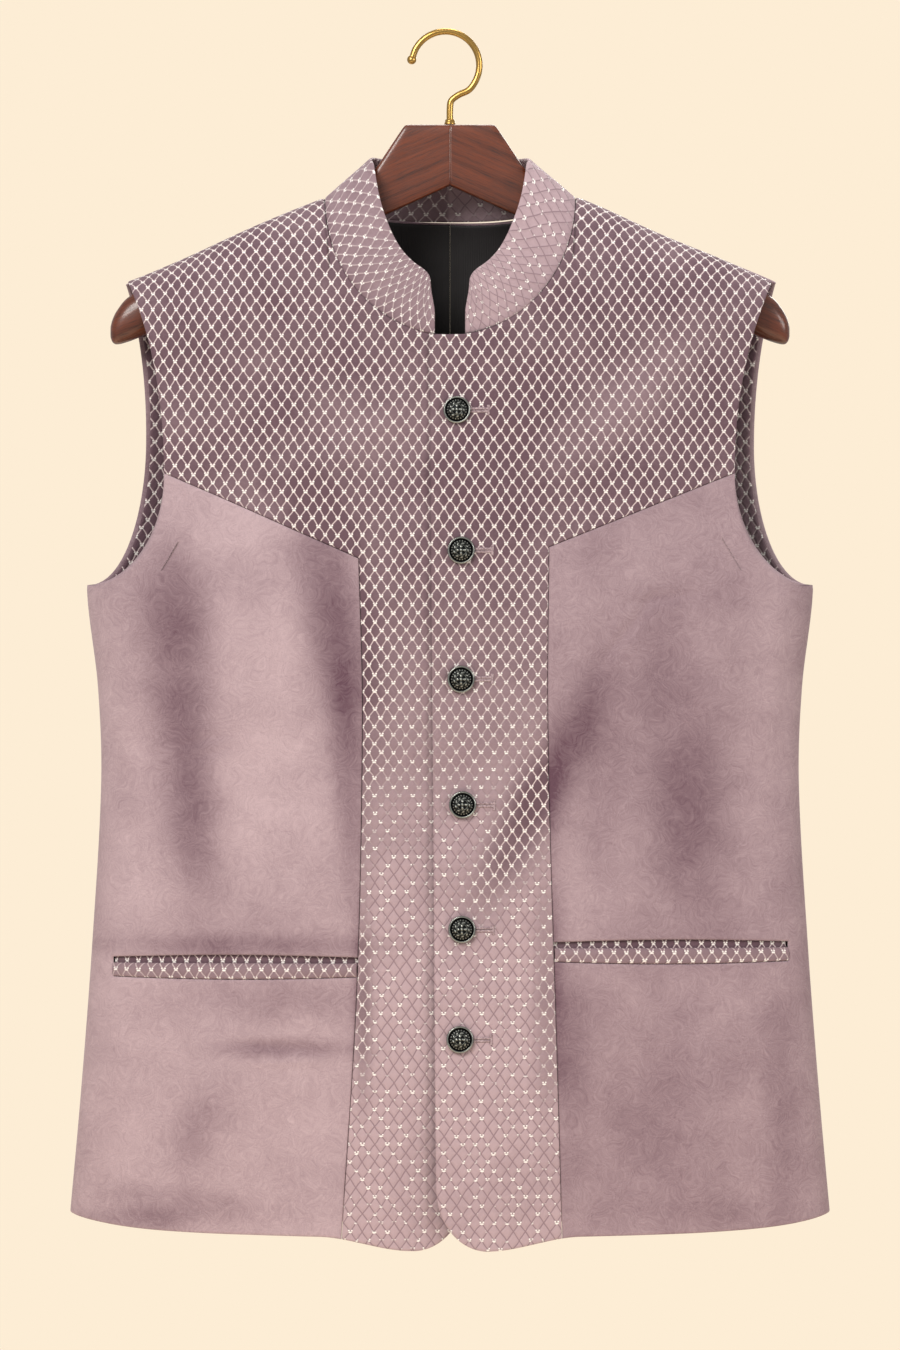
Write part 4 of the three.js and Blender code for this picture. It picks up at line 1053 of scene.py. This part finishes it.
# ---- pockets ----------------------------------------------------------------------------------
def pocket_strip(name, side, low, high, start, end, levels, base, node, rows, bow):
    """A strip of figured velvet along a pocket."""
    hand = HANDS[side]
    xs = np.linspace(start, end, 80)
    south = path(*low(xs))
    north = path(*high(xs))
    across = shares(end - start, 2.6, start=True, end=True)
    west = line([float(v) for v in (south(0.0))], [float(v) for v in north(0.0)])
    east = line([float(v) for v in (south(1.0))], [float(v) for v in north(1.0)])
    panel = Panel().block(south, east, north, west, across, rows)
    x, z = spots_of(panel)
    middle = (low(x)[1] + high(x)[1]) / 2
    tall = (high(x)[1] - low(x)[1]) / 2
    bowed = bow * (1 - np.clip(np.abs(z - middle) / tall, 0, 1) ** 2)
    relief = settle(front_relief(x * hand, z), x, z) + bowed
    made = shell(
        name, panel, form_place("front", side), lambda a, b: flat_place("front", a, b), levels,
        relief, np.full(len(z), float(base)), hand, flipped("front", hand), ["figured"],
    )
    sewn(made, node)


def pocket(side):
    spot = POCKETS[side]
    inner = float(seam_x(side, spot["bottom"])) + SEAM_GAP
    outer = spot["outer"] - SEAM_GAP
    split = mix(spot["bottom"], spot["top"], 0.7)
    pocket_strip(
        f"{side}_pocket_welt", side,
        lambda x: (x, pocket_line(side, "bottom", x)[1] + SEAM_GAP),
        lambda x: (x, split + 0 * x),
        inner, outer, (-0.1, 2), 0.42, f"{side}_pocket_welt", shares(10.5, 0.8, start=True, end=True), 0.8,
    )
    reach = 7
    # The facing's nap of 0.1 paints it dark: painted shade inside the pocket's slot.
    pocket_strip(
        f"{side}_pocket_facing", side,
        lambda x: (x, spot["bottom"] - reach + 0 * x),
        lambda x: (x, spot["top"] + reach + 0 * x),
        inner - reach, outer + 2, LINING_LEVELS, 0.1, f"{side}_pocket_facing",
        shares(27, 2.2, start=True, end=True), 0,
    )


# ---- back, lining and facings -----------------------------------------------------------------
CENTRE_GAP = 0.02  # each half's, where a sewn centre seam lets no light through
BACK_SPLIT_HEM, BACK_SPLIT_RISE = 0.4, 0.62


def facing_line(place, width):
    """A line `width` in from the back armhole's edge, from the side seam (0) to the shoulder (2)."""
    place = np.asarray(place, float)
    x0, z0 = armhole_at("back", np.maximum(0, place - 0.01))
    x1, z1 = armhole_at("back", np.minimum(2, place + 0.01))
    long = np.hypot(x1 - x0, z1 - z0)
    x, z = armhole_at("back", place)
    moved_x, moved_z = x - width * (z1 - z0) / long, z + width * (x1 - x0) / long
    moved_z = np.minimum(moved_z, ridge_z(moved_x))
    first, last = place == 0, place == 2
    tip = ARMHOLE["back"]["tip_x"] - width
    moved_x = np.where(first, half_width(z - width), np.where(last, tip, moved_x))
    moved_z = np.where(first, z - width, np.where(last, ridge_z(tip), moved_z))
    return moved_x, moved_z


def back_panel(hem_up, facing_width, step):
    hem_side = float(half_width(hem_z("back", half_width(HEM_BACK)) + hem_up))

    def hem_at(share):
        x = mix(CENTRE_GAP, hem_side, share)
        return x, hem_z("back", x) + hem_up

    def neck_at(share):
        x, z = neckline_at("back", share)
        return np.maximum(x, CENTRE_GAP), z

    under = tuple(float(v) for v in facing_line(0, facing_width))
    low, high = (tuple(float(v) for v in p) for p in (hem_at(BACK_SPLIT_HEM), neck_at(1.0)))
    middle = tuple(float(v) for v in line(low, high)(BACK_SPLIT_RISE))
    centre = (CENTRE_GAP, middle[1])
    base = tuple(float(v) for v in hem_at(0.0))
    neck = tuple(float(v) for v in neck_at(0.0))
    top = tuple(float(v) for v in facing_line(2, facing_width))
    z = np.linspace(float(hem_at(1.0)[1]), under[1], 80)
    neck_columns = shares(95, step, start=True)
    out_columns = shares(145, step, end=True)
    low_rows = shares(400, step, start=True)
    high_rows = 1 - (1 - shares(270, step)) ** 1.4
    inner_low, inner_high = line(low, middle), line(middle, high)
    across, split = line(centre, middle), line(middle, under)
    armhole = path(*facing_line(np.linspace(0, 2, 120), facing_width))
    panel = Panel()
    inner_hem, outer_hem = part_of(hem_at, 0, BACK_SPLIT_HEM), part_of(hem_at, BACK_SPLIT_HEM, 1)
    panel.block(inner_hem, inner_low, across, line(base, centre), neck_columns, low_rows)
    panel.block(across, inner_high, neck_at, line(centre, neck), neck_columns, high_rows)
    panel.block(outer_hem, path(half_width(z), z), split, inner_low, out_columns, low_rows)
    panel.block(split, armhole, line(high, top), inner_high, out_columns, high_rows)
    return panel


def facing_block(panel, inner, outer, step):
    places = np.linspace(0, 2, 120)
    inside, outside = facing_line(places, inner), facing_line(places, outer)
    ends = [tuple(float(v[k]) for v in edge) for k in (0, -1) for edge in (inside, outside)]
    rows = 1 - (1 - shares(270, step)) ** 1.4
    bottom, top = line(ends[0], ends[1]), line(ends[2], ends[3])
    columns = shares(FACING_WIDTH, step, end=True)
    return panel.block(bottom, path(*outside), top, path(*inside), columns, rows)


def back_piece(name, side, panel, levels, finish, base, strip=None):
    hand = HANDS[side]
    x, z = spots_of(panel)
    nap = base + 0.16 * np.sin(x / 41 * hand + z / 97) + 0.1 * np.sin(x / 23 - z / 61 * hand)
    made = shell(
        name, panel, form_place("back"), lambda a, b: flat_place("back", a, b), levels,
        settle(back_relief(x * hand, z), x, z), nap, hand, flipped("back", hand), [finish],
    )
    sewn(made, name, strip)


def back(side):
    step = bpy.context.scene.jacket_sizes.step / MM
    panel = facing_block(back_panel(0, FACING_WIDTH, step * 1.2), FACING_WIDTH, 0, step * 1.2)
    back_piece(f"{side}_back", side, panel, (0, 2), "plain", 0.66)


def linings(side):
    step = bpy.context.scene.jacket_sizes.step / MM
    lining = back_panel(16, FACING_WIDTH + SEAM_GAP, step * 1.6)
    back_piece(f"{side}_back_lining", side, lining, LINING_LEVELS, "satin", 0.5)
    facing = facing_block(Panel(), FACING_WIDTH, 0.6, step)
    # The facings' nap of 0.05 paints them dark: painted shade inside the armhole.
    back_piece(
        f"{side}_armhole_facing", side, facing, LINING_LEVELS, "figured", 0.05,
        FACING_WIDTH,
    )


# ---- collar -----------------------------------------------------------------------------------
def collar_frame(around):
    """The way up the collar's band and the way through it, at shares around its half."""
    lean = np.stack([
        -table_at(COLLAR_STANCE, "round", "inward", around),
        table_at(COLLAR_STANCE, "round", "backward", around),
        table_at(COLLAR_STANCE, "round", "up", around),
    ], -1)
    lean /= np.linalg.norm(lean, axis=-1, keepdims=True)
    angle = around * math.pi
    flat = np.stack([-np.sin(angle), np.cos(angle), 0 * angle], -1)
    through = flat - lean * (flat * lean).sum(-1, keepdims=True)
    return lean, through / np.linalg.norm(through, axis=-1, keepdims=True)


def collar_base(around):
    """The neckline under the band, from its front end (0) to the centre back (1)."""
    front = neckline_at("front", mix(COLLAR_END, 1, np.clip(around / COLLAR_SIDE, 0, 1)))
    behind = neckline_at("back", 1 - np.clip((around - COLLAR_SIDE) / (1 - COLLAR_SIDE), 0, 1))
    first = form_point("front", turn_of(*front), front[1], 0)
    last = form_point("back", turn_of(*behind), behind[1], 0)
    return np.where((around <= COLLAR_SIDE)[:, None], first, last)


def collar_place(along, height, level):
    """Points of the whole band: `along` runs from -1 at the right front end through the back to 1."""
    around = 1 - np.abs(along)
    lean, through = collar_frame(around)
    points = collar_base(around) + lean * height[:, None] + through * np.asarray(level)[..., None]
    points[:, 0] *= np.sign(along + 1e-12)
    return points


def collar():
    sizes = bpy.context.scene.jacket_sizes
    half = shares(COLLAR_HALF_LENGTH, 2.2, start=True)
    along = np.concatenate([-(1 - half), (1 - half)[::-1][1:]])
    around = 1 - np.abs(along)
    short = np.clip(1 - around * COLLAR_HALF_LENGTH / COLLAR_CORNER_LONG, 0, 1)
    top = COLLAR_HIGH - COLLAR_CORNER_HIGH * (1 - np.sqrt(1 - short**2))
    rows = shares(COLLAR_HIGH, 1.6, start=True, end=True)
    start = 0.05
    a = np.repeat(along[None, :], len(rows), 0)
    b = start + rows[:, None] * (top[None, :] - start)
    panel = Panel().grid(a, b)
    coordinates, _ = panel.merged()
    along_band, height = coordinates.T
    swell = 0.9 * np.sin(math.pi * np.clip(height / COLLAR_HIGH, 0, 1)) + 0.4 * np.sin(along_band * 17)

    def flat_of(along, height):
        return along * COLLAR_HALF_LENGTH, height

    base = np.where(along_band < 0, 0.5, 0.92)
    # Painted shade: the band darkens towards the neckline it stands on, fading within about 5 mm.
    collar_base_shade = 0.25 * np.exp(-height / 5)
    made = shell(
        "collar", panel, collar_place, flat_of, (0, 3), swell, base - collar_base_shade,
        1, False, ["figured"], roll=sizes.roll * 1.1,
    )
    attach(made, "root")
    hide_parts("collar")
    width, length, area = made["cut"]


# ---- buttons ----------------------------------------------------------------------------------
def button_spot(x, z):
    """The upper front's surface under a button, and its outward direction."""
    place = form_place("front", "left")

    def spot(dx, dz):
        at = np.array([x + dx]), np.array([z + dz])
        turn = turn_of(*at)
        relief = front_relief(*at) + lap_relief(*at)
        return place(turn, at[1], -relief)[0]

    out = np.cross(spot(5, 0) - spot(-5, 0), spot(0, 5) - spot(0, -5))
    return Vector(spot(0, 0) * MM), Vector(out).normalized()


BUTTON_SECTION = [
    (0.0, 5.75), (2.0, 5.62), (4.0, 5.1), (5.6, 4.25), (6.6, 3.45), (7.0, 3.0), (7.25, 2.75),
    (7.5, 2.95), (7.9, 3.35), (8.4, 3.4), (8.8, 3.1), (8.95, 2.6), (8.8, 2.0), (8.2, 1.6),
    (4.0, 1.4), (2.4, 1.35), (2.3, 0.3), (0.0, 0.3),
]


def button_relief(radius, angle):
    """A generic rosette: petals round a bead, a ring of scrolls, and beads inside the rim."""
    petals = np.maximum(0, np.cos(4 * angle)) ** 0.7 * np.exp(-(((radius - 2.3) / 1.1) ** 2))
    centre = np.exp(-((radius / 0.9) ** 2))
    scrolls = (0.5 + 0.5 * np.cos(9 * angle + 1.5 * radius)) * np.exp(-(((radius - 4.6) / 0.75) ** 2))
    beads = (0.5 + 0.5 * np.cos(22 * angle)) ** 1.5 * np.exp(-(((radius - 6.2) / 0.5) ** 2))
    ring = np.exp(-(((radius - 3.5) / 0.25) ** 2))
    parts = np.broadcast_arrays(petals, centre, scrolls, beads, 0.7 * ring)
    return np.max(parts, axis=0)


def button(number, x, z):
    AROUND = 132
    radii, rises = (np.array(v) for v in zip(*BUTTON_SECTION))
    at = np.concatenate([[0], np.cumsum(np.hypot(np.diff(radii), np.diff(rises)))])
    stations = [np.linspace(0, at[6], 52), np.linspace(at[6], at[13], 30), at[13:]]
    dense = np.unique(np.concatenate(stations))[1:-1]
    radius, rise = np.interp(dense, at, radii), np.interp(dense, at, rises)
    angle = np.linspace(0, 2 * math.pi, AROUND, endpoint=False)
    raised = button_relief(radius[:, None], angle[None, :]) * (dense < at[5])[:, None]
    height = rise[:, None] + 0.42 * raised
    scale = bpy.context.scene.jacket_sizes.button / MM / 8.95
    ring = np.stack([radius[:, None] * np.cos(angle), radius[:, None] * np.sin(angle), height], -1) * scale
    count = len(dense)
    top = [0, 0, rises[0] * scale + 0.4]
    points = np.concatenate([[top], ring.reshape(-1, 3), [[0, 0, 0.3 * scale]]])
    faces = []
    for j in range(AROUND):
        n = (j + 1) % AROUND
        faces.append((0, 1 + j, 1 + n))
        last = 1 + (count - 1) * AROUND
        faces.append((len(points) - 1, last + n, last + j))
        for i in range(count - 1):
            row = 1 + i * AROUND
            faces.append((row + j, row + AROUND + j, row + AROUND + n, row + n))
    bright = np.where(dense[:, None] < at[5], 0.12 + 0.85 * raised**1.2, 0.0)
    rim = np.exp(-(((dense - at[9]) / 0.8) ** 2))[:, None]
    side = np.where(dense > at[10], 0.35, 0.0)[:, None]
    worn = np.clip(np.maximum(bright, np.maximum(rim, side)), 0, 1)
    worn = np.concatenate([[0.95], worn.ravel(), [0.1]])
    made = solid(f"button_{number}_cast", points, faces, ["pewter"], worn=worn)
    spot, out = button_spot(x, z)
    turn = out.to_track_quat("Z", "Y").to_matrix().to_4x4()
    turn.translation = spot
    made.data.transform(turn)
    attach(made, "root")
    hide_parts(f"button_{number}")


def tube(points, radii, sides):
    """A round mesh tube along points, as vertices and faces."""
    points = np.asarray(points, float)
    along = np.gradient(points, axis=0)
    along /= np.linalg.norm(along, axis=1, keepdims=True)
    normal = np.cross(along[0], [0.3, 1, 0.2])
    frames = []
    for direction in along:
        normal = normal - direction * normal.dot(direction)
        normal = normal / np.linalg.norm(normal)
        frames.append((normal, np.cross(direction, normal)))
    angle = np.linspace(0, 2 * math.pi, sides, endpoint=False)
    rings = [
        p + r * (np.cos(angle)[:, None] * n + np.sin(angle)[:, None] * b)
        for p, r, (n, b) in zip(points, radii, frames)
    ]
    vertices = np.concatenate(rings)
    faces = []
    for i in range(len(points) - 1):
        for k in range(sides):
            n = (k + 1) % sides
            faces.append((i * sides + k, i * sides + n, (i + 1) * sides + n, (i + 1) * sides + k))
    faces.append(tuple(range(sides))[::-1])
    last = (len(points) - 1) * sides
    faces.append(tuple(last + k for k in range(sides)))
    return vertices, faces


def merged_mesh(name, parts, finish):
    """One object from (vertices, faces) parts, in millimetres."""
    vertices, faces, start = [], [], 0
    for points, loops in parts:
        vertices.append(np.asarray(points))
        faces += [tuple(i + start for i in loop) for loop in loops]
        start += len(points)
    return solid(name, np.concatenate(vertices), faces, [finish])


def buttonhole(number, x, z):
    """Two rows of close stitches beside the slit, and a bar across its outer end."""
    place = form_place("front", "left")

    def on_cloth(xs, zs, up):
        xs, zs = np.atleast_1d(xs).astype(float), np.atleast_1d(zs).astype(float) + 0 * np.atleast_1d(xs)
        relief = front_relief(xs, zs) + lap_relief(xs, zs)
        return place(turn_of(xs, zs), zs, -relief - up)

    parts = []
    END, STITCH = 20.5, 0.8
    for step in np.arange(3, END, STITCH):
        for side in (-1, 1):
            share = np.linspace(-1, 1, 5)
            zs = z + side * (0.95 + 0.62 * share)
            up = 0.42 * (1 - share**2) + 0.05
            centre = on_cloth(np.full(5, x + step) + 0.12 * share * side, zs, up)
            parts.append(tube(centre, np.full(5, 0.42), 8))
    for step in np.arange(-3.0, 3.01, 0.75):
        share = np.linspace(-1, 1, 5)
        centre = on_cloth(x + END + 0.75 * share, np.full(5, z + step), 0.45 * (1 - share**2) + 0.08)
        parts.append(tube(centre, np.full(5, 0.4), 8))
    made = merged_mesh(f"buttonhole_{number}", parts, "twist")
    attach(made, "root")


# ---- hanger -----------------------------------------------------------------------------------
def hanger_arm(side):
    hand, SIDES = HANDS[side], 56
    keys = np.array([row["x"] for row in HANGER], float)
    plate_edge = HANGER[1]["x"] + np.array([-1.6, -0.8, -0.3, 0, 0.3, 0.8, 1.6])
    fillet = np.concatenate([plate_edge, HANGER[2]["x"] + np.linspace(-4, 6, 9)])
    joint, arm, tip = [0.02, 0.4, 0.8, 1.3], np.linspace(2, 205, 110), np.linspace(205, 224, 26)
    xs = np.unique(np.round(np.concatenate([joint, arm, fillet, tip]), 3))
    columns = {}
    for column in ("top", "bottom", "thick", "square"):
        straight = np.interp(xs, keys, [row[column] for row in HANGER])
        curved = table_at(HANGER[2:], "x", column, xs)
        columns[column] = mix(straight, curved, smooth((xs - 50) / 12))
    # Sanding rounds the plate's corner, where its top meets the slope.
    corner = np.exp(-(((xs - 29.7) / 1.1) ** 2))
    columns["top"] = columns["top"] - 0.5 * corner
    angle = (np.arange(SIDES) + 0.5) / SIDES * 2 * math.pi

    def power(v, square):
        return np.sign(v) * np.abs(v) ** (2 / square)

    square = columns["square"][:, None]
    # The mitred ends are eased by a hair, so the joint shows as a fine groove.
    ease = np.clip((xs - 0.15) / 0.6, 0, 1)[:, None]
    shrink = 1 - 0.012 * (1 - ease)
    y = columns["thick"][:, None] / 2 * power(np.cos(angle), square) * (shrink - 0.02 * (1 - ease))
    middle = ((columns["top"] + columns["bottom"]) / 2)[:, None]
    tall = ((columns["top"] - columns["bottom"]) / 2)[:, None]
    z = middle + tall * power(np.sin(angle), square) * shrink
    x = np.repeat(xs[:, None], SIDES, 1)
    points = np.stack([x * hand, y, z], -1).reshape(-1, 3)
    faces = []
    for i in range(len(xs) - 1):
        for k in range(SIDES):
            a, b = i * SIDES + k, i * SIDES + (k + 1) % SIDES
            faces.append((a, b, b + SIDES, a + SIDES))
    faces.append(tuple(range(SIDES))[::-1])
    last = (len(xs) - 1) * SIDES
    faces.append(tuple(last + k for k in range(SIDES)))
    if hand < 0:
        faces = [f[::-1] for f in faces]
    slope = math.radians(-24)
    along = points[:, 0] * hand * math.cos(slope) + points[:, 2] * math.sin(slope)
    across = -points[:, 0] * hand * math.sin(slope) + points[:, 2] * math.cos(slope)
    grain = np.stack([along + 400 * hand, across, points[:, 1]], 1) * MM
    made = solid(f"{side}_arm_turned", points, faces, ["wood"], grain=grain)
    mesh = made.data
    mesh.polygons[len(faces) - 2].use_smooth = False
    bm = bmesh.new()
    bm.from_mesh(mesh)
    bmesh.ops.recalc_face_normals(bm, faces=bm.faces)
    bm.to_mesh(mesh)
    bm.free()
    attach(made, "root")
    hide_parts(f"hanger_{side}_arm")


def hook():
    """A wire bent into a crook with a ball on its end, screwed through a small ring."""
    inner = HOOK_RADIUS - HOOK_WIRE
    centre_z = -math.sqrt(inner**2 - HOOK_CENTRE_X**2)
    plate_top = HANGER[0]["top"]
    degrees = np.radians([168, 150, 130, 110, 90, 70, 50, 30, 10, -10, -30, -47])
    xs = np.append(HOOK_CENTRE_X + HOOK_RADIUS * np.cos(degrees), [5.6, 0.9, 0, 0])
    stem = [centre_z - 19.6, centre_z - 23.4, centre_z - 28.5, plate_top + SEAM_GAP]
    zs = np.append(centre_z + HOOK_RADIUS * np.sin(degrees), stem)
    at = np.concatenate([[0], np.cumsum(np.hypot(np.diff(xs), np.diff(zs)))])
    rows = [dict(at=a, x=x, z=z) for a, x, z in zip(at, xs, zs)]
    fine = np.linspace(0, at[-1], 220)
    centre = np.stack([table_at(rows, "at", "x", fine), 0 * fine, table_at(rows, "at", "z", fine)], 1)
    wire = tube(centre, np.full(len(fine), HOOK_WIRE), 28)
    ball_bm = bmesh.new()
    bmesh.ops.create_uvsphere(ball_bm, u_segments=32, v_segments=20, radius=HOOK_BALL)
    end = centre[0] + (centre[0] - centre[6]) / np.linalg.norm(centre[0] - centre[6]) * 1.0
    ball_faces = [tuple(v.index for v in f.verts) for f in ball_bm.faces]
    ball = (np.array([v.co for v in ball_bm.verts]) + end, ball_faces)
    ball_bm.free()
    made = merged_mesh("hook_wire", [wire, ball], "brass")
    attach(made, "root")
    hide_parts("hook")
    rim = HOOK_WIRE + SEAM_GAP
    section = [(rim, 0), (3.5, 0), (3.7, 0.3), (3.7, 1.0), (3.4, 1.4), (3.2, 2.6), (2.9, 3.3), (rim, 3.4)]
    angle = np.linspace(0, 2 * math.pi, 48, endpoint=False)
    points = np.concatenate([
        np.stack([r * np.cos(angle), r * np.sin(angle), np.full(48, plate_top + SEAM_GAP + h)], 1)
        for r, h in section
    ])
    faces = []
    for i in range(len(section)):
        n = (i + 1) % len(section)
        for k in range(48):
            j = (k + 1) % 48
            faces.append((i * 48 + k, i * 48 + j, n * 48 + j, n * 48 + k))
    ring = merged_mesh("hook_ring", [(points, faces)], "brass")
    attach(ring, "root")
    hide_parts("hook_ferrule")


# ---- stage ------------------------------------------------------------------------------------
def area_light(name, place, target, size, power, colour):
    light = bpy.data.lights.new(name, "AREA")
    light.shape, light.size, light.energy = "DISK", size, power
    light.color = colour
    made = bpy.data.objects.new(name, light)
    made.location = place
    made.rotation_euler = (Vector(target) - Vector(place)).to_track_quat("-Z", "Y").to_euler()
    bpy.context.scene.collection.objects.link(made)


def stage():
    scene = bpy.context.scene
    scene.view_settings.view_transform = "Standard"
    scene.view_settings.look = "None"
    world = bpy.data.worlds.new("studio")
    scene.world = world
    world.use_nodes = True
    tree = world.node_tree
    tree.nodes.clear()
    seen = put(tree, "ShaderNodeBackground", {"Color": colour_of("backdrop"), "Strength": 1.0})
    fill = put(tree, "ShaderNodeBackground", {"Color": (1.0, 0.97, 0.93, 1), "Strength": 0.42})
    rays = put(tree, "ShaderNodeLightPath")
    both = put(tree, "ShaderNodeMixShader", {0: rays.outputs["Is Camera Ray"], 1: fill, 2: seen})
    put(tree, "ShaderNodeOutputWorld", {"Surface": both})

    bm = bmesh.new()
    bmesh.ops.create_circle(bm, cap_ends=True, segments=128, radius=1.05)
    mesh = bpy.data.meshes.new("floor")
    bm.to_mesh(mesh)
    bm.free()
    floor = bpy.data.objects.new("floor", mesh)
    floor.location = (0, 0, -0.98)
    scene.collection.objects.link(floor)
    paint = surface("pale_floor_paint", **{"Base Color": colour_of("backdrop"), "Roughness": 0.9})[0]
    mesh.materials.append(paint)

    target = (0, 0, -0.42)
    area_light("key", (-1.3, -2.4, 1.1), target, 1.5, 62, (1.0, 0.97, 0.93))
    area_light("side", (2.2, -1.6, 0.3), target, 1.2, 20, (1.0, 0.97, 0.94))
    area_light("over", (0.2, 0.5, 1.9), target, 1.2, 22, (1.0, 0.98, 0.95))
    area_light("behind", (0.3, 2.6, 0.6), target, 1.6, 26, (1.0, 0.98, 0.95))

    camera = bpy.data.cameras.new("camera")
    distance, tall = 6.0, 0.891  # the frame's height at the hanger's plane
    camera.sensor_width = 36
    camera.lens = 36 * distance / tall
    made = bpy.data.objects.new("camera", camera)
    made.location = (0, -distance, -0.4224)
    made.rotation_euler = (math.pi / 2, 0, 0)
    scene.collection.objects.link(made)
    scene.camera = made


# ---- operators --------------------------------------------------------------------------------
class JACKET_OT_stage(bpy.types.Operator):
    """Sets the camera, the lights and the floor."""

    bl_idname = "jacket.stage"
    bl_label = "Stage"

    def execute(self, context):
        stage()
        return {"FINISHED"}


class JACKET_OT_fronts(bpy.types.Operator):
    """Cuts both fronts: the figured yoke and front strip, and the plain side."""

    bl_idname = "jacket.fronts"
    bl_label = "Fronts"

    def execute(self, context):
        for side in HANDS:
            figured_front(side)
            plain_front(side)
        return {"FINISHED"}


class JACKET_OT_pockets(bpy.types.Operator):
    """Sets the pockets' welts and facings."""

    bl_idname = "jacket.pockets"
    bl_label = "Pockets"

    def execute(self, context):
        for side in HANDS:
            pocket(side)
        return {"FINISHED"}


class JACKET_OT_back(bpy.types.Operator):
    """Cuts both halves of the back."""

    bl_idname = "jacket.back"
    bl_label = "Back"

    def execute(self, context):
        for side in HANDS:
            back(side)
        return {"FINISHED"}


class JACKET_OT_linings(bpy.types.Operator):
    """Hangs the back's lining and the armhole facings."""

    bl_idname = "jacket.linings"
    bl_label = "Lining and facings"

    def execute(self, context):
        for side in HANDS:
            linings(side)
        return {"FINISHED"}


class JACKET_OT_collar(bpy.types.Operator):
    """Sets the stand collar on the neckline."""

    bl_idname = "jacket.collar"
    bl_label = "Collar"

    def execute(self, context):
        collar()
        return {"FINISHED"}


class JACKET_OT_buttons(bpy.types.Operator):
    """Sews on the buttons and works their buttonholes."""

    bl_idname = "jacket.buttons"
    bl_label = "Buttons and buttonholes"

    def execute(self, context):
        for number, (x, z) in enumerate(BUTTONS, 1):
            button(number, x, z)
            buttonhole(number, x, z)
        return {"FINISHED"}


class JACKET_OT_hanger(bpy.types.Operator):
    """Turns the hanger's arms and bends its hook."""

    bl_idname = "jacket.hanger"
    bl_label = "Hanger"

    def execute(self, context):
        for side in HANDS:
            hanger_arm(side)
        hook()
        return {"FINISHED"}


OPERATORS = (
    JACKET_OT_stage, JACKET_OT_fronts, JACKET_OT_pockets, JACKET_OT_back, JACKET_OT_linings,
    JACKET_OT_collar, JACKET_OT_buttons, JACKET_OT_hanger,
)


class JACKET_PT_panel(bpy.types.Panel):
    """The jacket's sizes, colours and pieces."""

    bl_idname = "JACKET_PT_panel"
    bl_label = "Jacket"
    bl_space_type = "VIEW_3D"
    bl_region_type = "UI"
    bl_category = "Jacket"

    def draw(self, context):
        for group in (context.scene.jacket_sizes, context.scene.jacket_colours):
            for key in group.__annotations__:
                self.layout.prop(group, key)
        for operator in OPERATORS:
            self.layout.operator(operator.bl_idname)


CLASSES = (JacketSizes, JacketColours, *OPERATORS, JACKET_PT_panel)


def register():
    for cls in CLASSES:
        bpy.utils.register_class(cls)
    bpy.types.Scene.jacket_sizes = bpy.props.PointerProperty(type=JacketSizes)
    bpy.types.Scene.jacket_colours = bpy.props.PointerProperty(type=JacketColours)


def unregister():
    del bpy.types.Scene.jacket_colours
    del bpy.types.Scene.jacket_sizes
    for cls in reversed(CLASSES):
        bpy.utils.unregister_class(cls)


def main():
    register()
    for operator in OPERATORS:
        module, name = operator.bl_idname.split(".")
        getattr(getattr(bpy.ops, module), name)()


if __name__ == "__main__":
    main()
